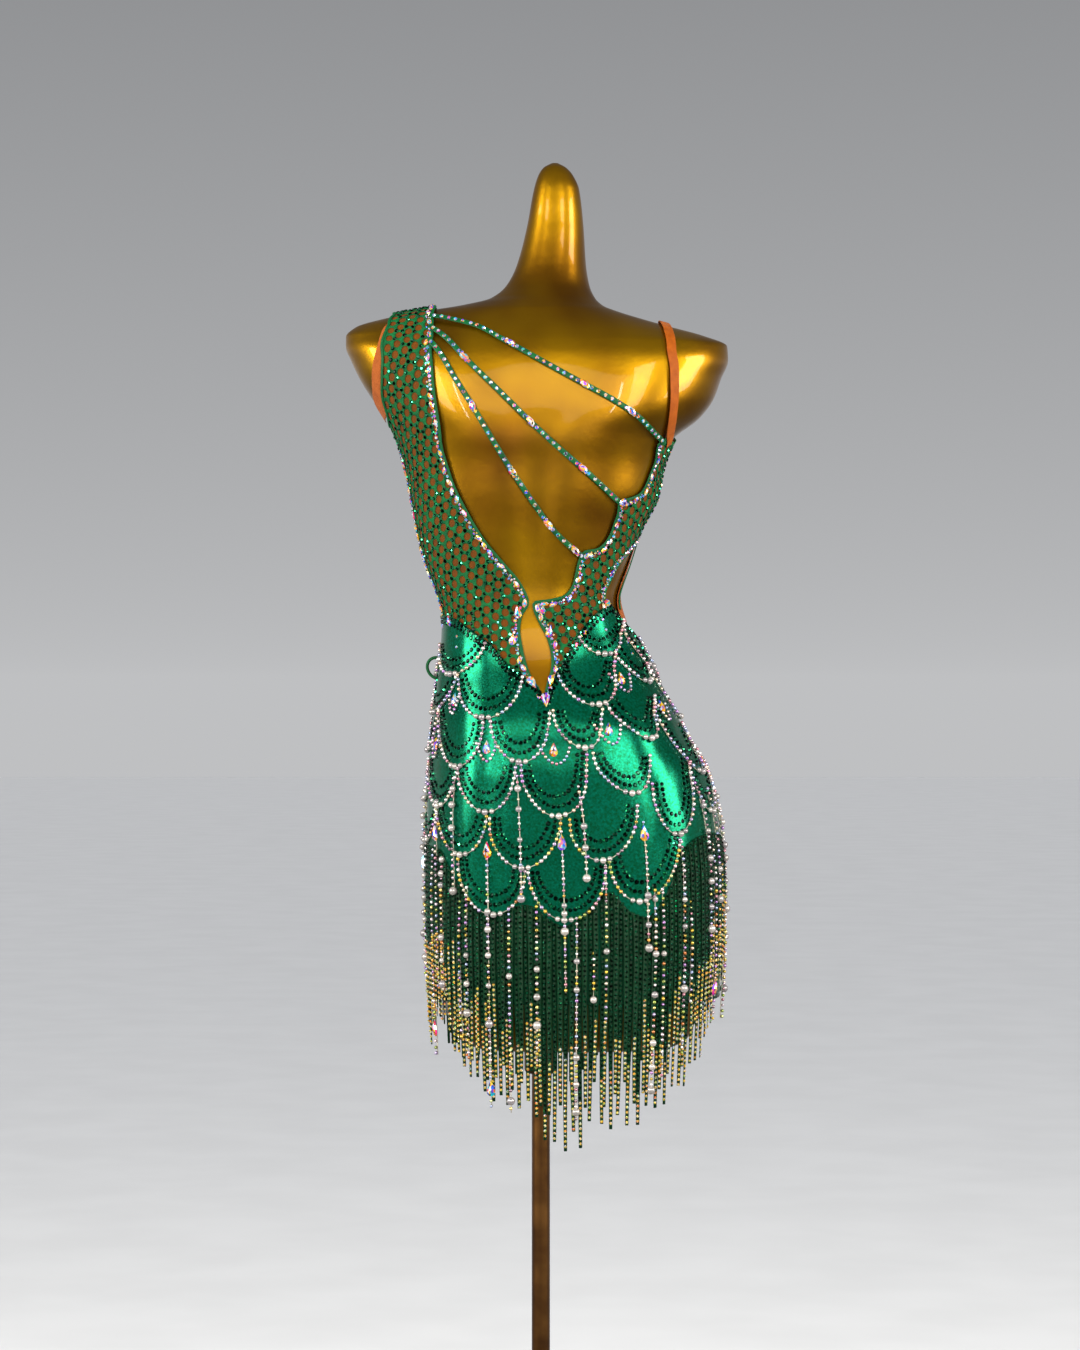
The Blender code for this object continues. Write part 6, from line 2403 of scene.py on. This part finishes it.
# ------------ the studio
WARM = "FFFBF2"
PANEL_LIGHTS = (  # name, place and size in metres, power in watts
    ("left_key_panel", (1.9, 2.7, 1.9), (0.75, 1.9), 40.0),
    ("right_key_panel", (-1.6, 2.9, 1.9), (0.75, 1.9), 46.0),
    ("broad_key_panel", (0.2, 3.4, 2.25), (3.4, 1.1), 30.0),
    ("left_strip_light", (1.15, 3.2, 1.7), (0.07, 1.3), 11.0),
    ("right_strip_light", (-0.9, 3.3, 1.8), (0.07, 1.3), 11.0),
    ("left_side_panel", (2.8, 1.1, 1.7), (1.0, 1.8), 78.0),
    ("right_side_panel", (-2.8, 1.1, 1.7), (1.0, 1.8), 78.0))
EVEN_LIGHTS = (  # name, direction, watts per square metre
    ("overhead_soft_light", (-0.15, -0.2, -1.0), 2.2),
    ("front_soft_light", (0.1, 1.0, -0.35), 0.5))


@dataclass
class Studio:
    """A plain pale floor, soft lights and the camera."""

    target: tuple[float, float, float] = (0.0, 0.0, 1.0)
    lit: tuple[float, float, float] = (0.0, 0.0, 1.05)
    distance: float = 4.0
    lens: float = 92.8
    sensor: float = 36.0
    floor_reach: float = 3e4
    floor_gap: float = 0.0005

    def place(self, name: str, data: bpy.types.ID, toward: Sequence[float] | None = None,
              ) -> bpy.types.Object:
        """Put a light or the camera in the scene.

        Args:
            name: Its name.
            data: The light or camera.
            toward: The direction that a light faces.

        Returns:
            The object.
        """
        obj = bpy.data.objects.new(name, data)
        bpy.context.scene.collection.objects.link(obj)
        if toward is not None:
            flat = math.hypot(toward[0], toward[1])
            obj.rotation_euler = (math.atan2(flat, -toward[2]), 0.0,
                                  math.atan2(-toward[0], toward[1]))
        return obj

    def add_lights(self) -> None:
        """Add soft panels that face the dress, and even lights for cloth and floor.

        The even lights leave no reflection on what is glossy.
        """
        for name, place, size, power in PANEL_LIGHTS:
            data = bpy.data.lights.new(name, "AREA")
            data.shape = "RECTANGLE"
            data.size, data.size_y = size
            data.energy, data.color = power, linear(WARM)
            panel = self.place(name, data, np.array(self.lit) - np.array(place))
            panel.location = place
            panel.visible_camera = False
        for name, toward, strength in EVEN_LIGHTS:
            data = bpy.data.lights.new(name, "SUN")
            data.energy, data.angle = strength, math.radians(40.0)
            self.place(name, data, toward).visible_glossy = False

    def add_world(self) -> None:
        """Add a grey paper backdrop that is darker higher up, and dim below the horizon."""
        world = bpy.data.worlds.new("studio")
        world.use_nodes = True
        tree = world.node_tree
        rise = add_node(tree, "ShaderNodeSeparateXYZ", {
            "Vector": add_node(tree, "ShaderNodeTexCoord").outputs["Generated"]}).outputs["Z"]
        risen = add_node(tree, "ShaderNodeMapRange", {
            "Value": rise, "To Min": 0.0, "To Max": 2.4}).outputs["Result"]
        share = add_node(tree, "ShaderNodeMath", {0: risen, 1: 0.7}, operation="POWER").outputs[0]
        paper = add_node(tree, "ShaderNodeValToRGB", {"Fac": share},
                         ((0.0, "D8D9DB"), (1.0, "6C6E72"))).outputs["Color"]
        glow = add_node(tree, "ShaderNodeMapRange", {
            "Value": rise, "From Min": -0.3, "From Max": -0.04, "To Min": 0.2,
            "To Max": 0.76}).outputs["Result"]
        background = tree.nodes["Background"]
        tree.links.new(paper, background.inputs["Color"])
        tree.links.new(glow, background.inputs["Strength"])
        bpy.context.scene.world = world

    def build(self) -> None:
        """Make the floor, the world, the lights and the camera."""
        far = self.floor_reach
        floor = MeshBuffer()
        floor.add(np.array([(-far, -far, 0.0), (far, -far, 0.0), (far, far, 0.0),
                            (-far, far, 0.0)]), np.array([[0, 1, 2, 3]]))
        board = floor.build("studio_floor", BOARD)
        board.location.z = -self.floor_gap
        board.visible_glossy = False
        self.add_world()
        self.add_lights()
        camera = self.place("camera", bpy.data.cameras.new("camera"))
        camera.data.lens = self.lens
        camera.data.sensor_width = self.sensor
        camera.location = (self.target[0], self.target[1] + self.distance, self.target[2])
        camera.rotation_euler = (math.pi / 2.0, 0.0, math.pi)
        bpy.context.scene.camera = camera
        bpy.context.scene.view_settings.view_transform = "Standard"


# ------------ the whole dress
def main() -> None:
    """Build every piece in order, and report each."""
    logging.basicConfig(level=logging.INFO, format="%(name)s: %(message)s")
    Studio().build()
    Stand().build()
    DressForm().build()
    back, front = ClothPlane(False), ClothPlane(True)
    left_panel = NetPanel("back_left", BACK_LEFT_RIBS, back, (SEAM_LEFT, SEAM_RIGHT),
                          (170.0, 440.0), seed=5, lean=-8.0)
    right_panel = NetPanel("back_right", BACK_RIGHT_RIBS, back,
                           (SEAM_LEFT, SEAM_RIGHT - SEAM_TURN), (130.0, 290.0), seed=6, lean=8.0,
                           shoulder=False, hemmed=False)
    front_panel = NetPanel("front", FRONT_RIBS, front, (SEAM_LEFT - SEAM_TURN, SEAM_RIGHT),
                           (420.0, 420.0), seed=7, columns=40, front=True)
    for panel in (left_panel, right_panel, front_panel):
        panel.build()
    PlainPanels().build()
    FoilSkirt().build()
    ThinStraps().build()
    NudeStrap().build()
    EdgeTrim().build(left_panel, right_panel, front_panel)
    for trim in (ScaleTrim, HipLoop, Fringe, BeadStrings):
        trim().build()


if __name__ == "__main__":
    main()
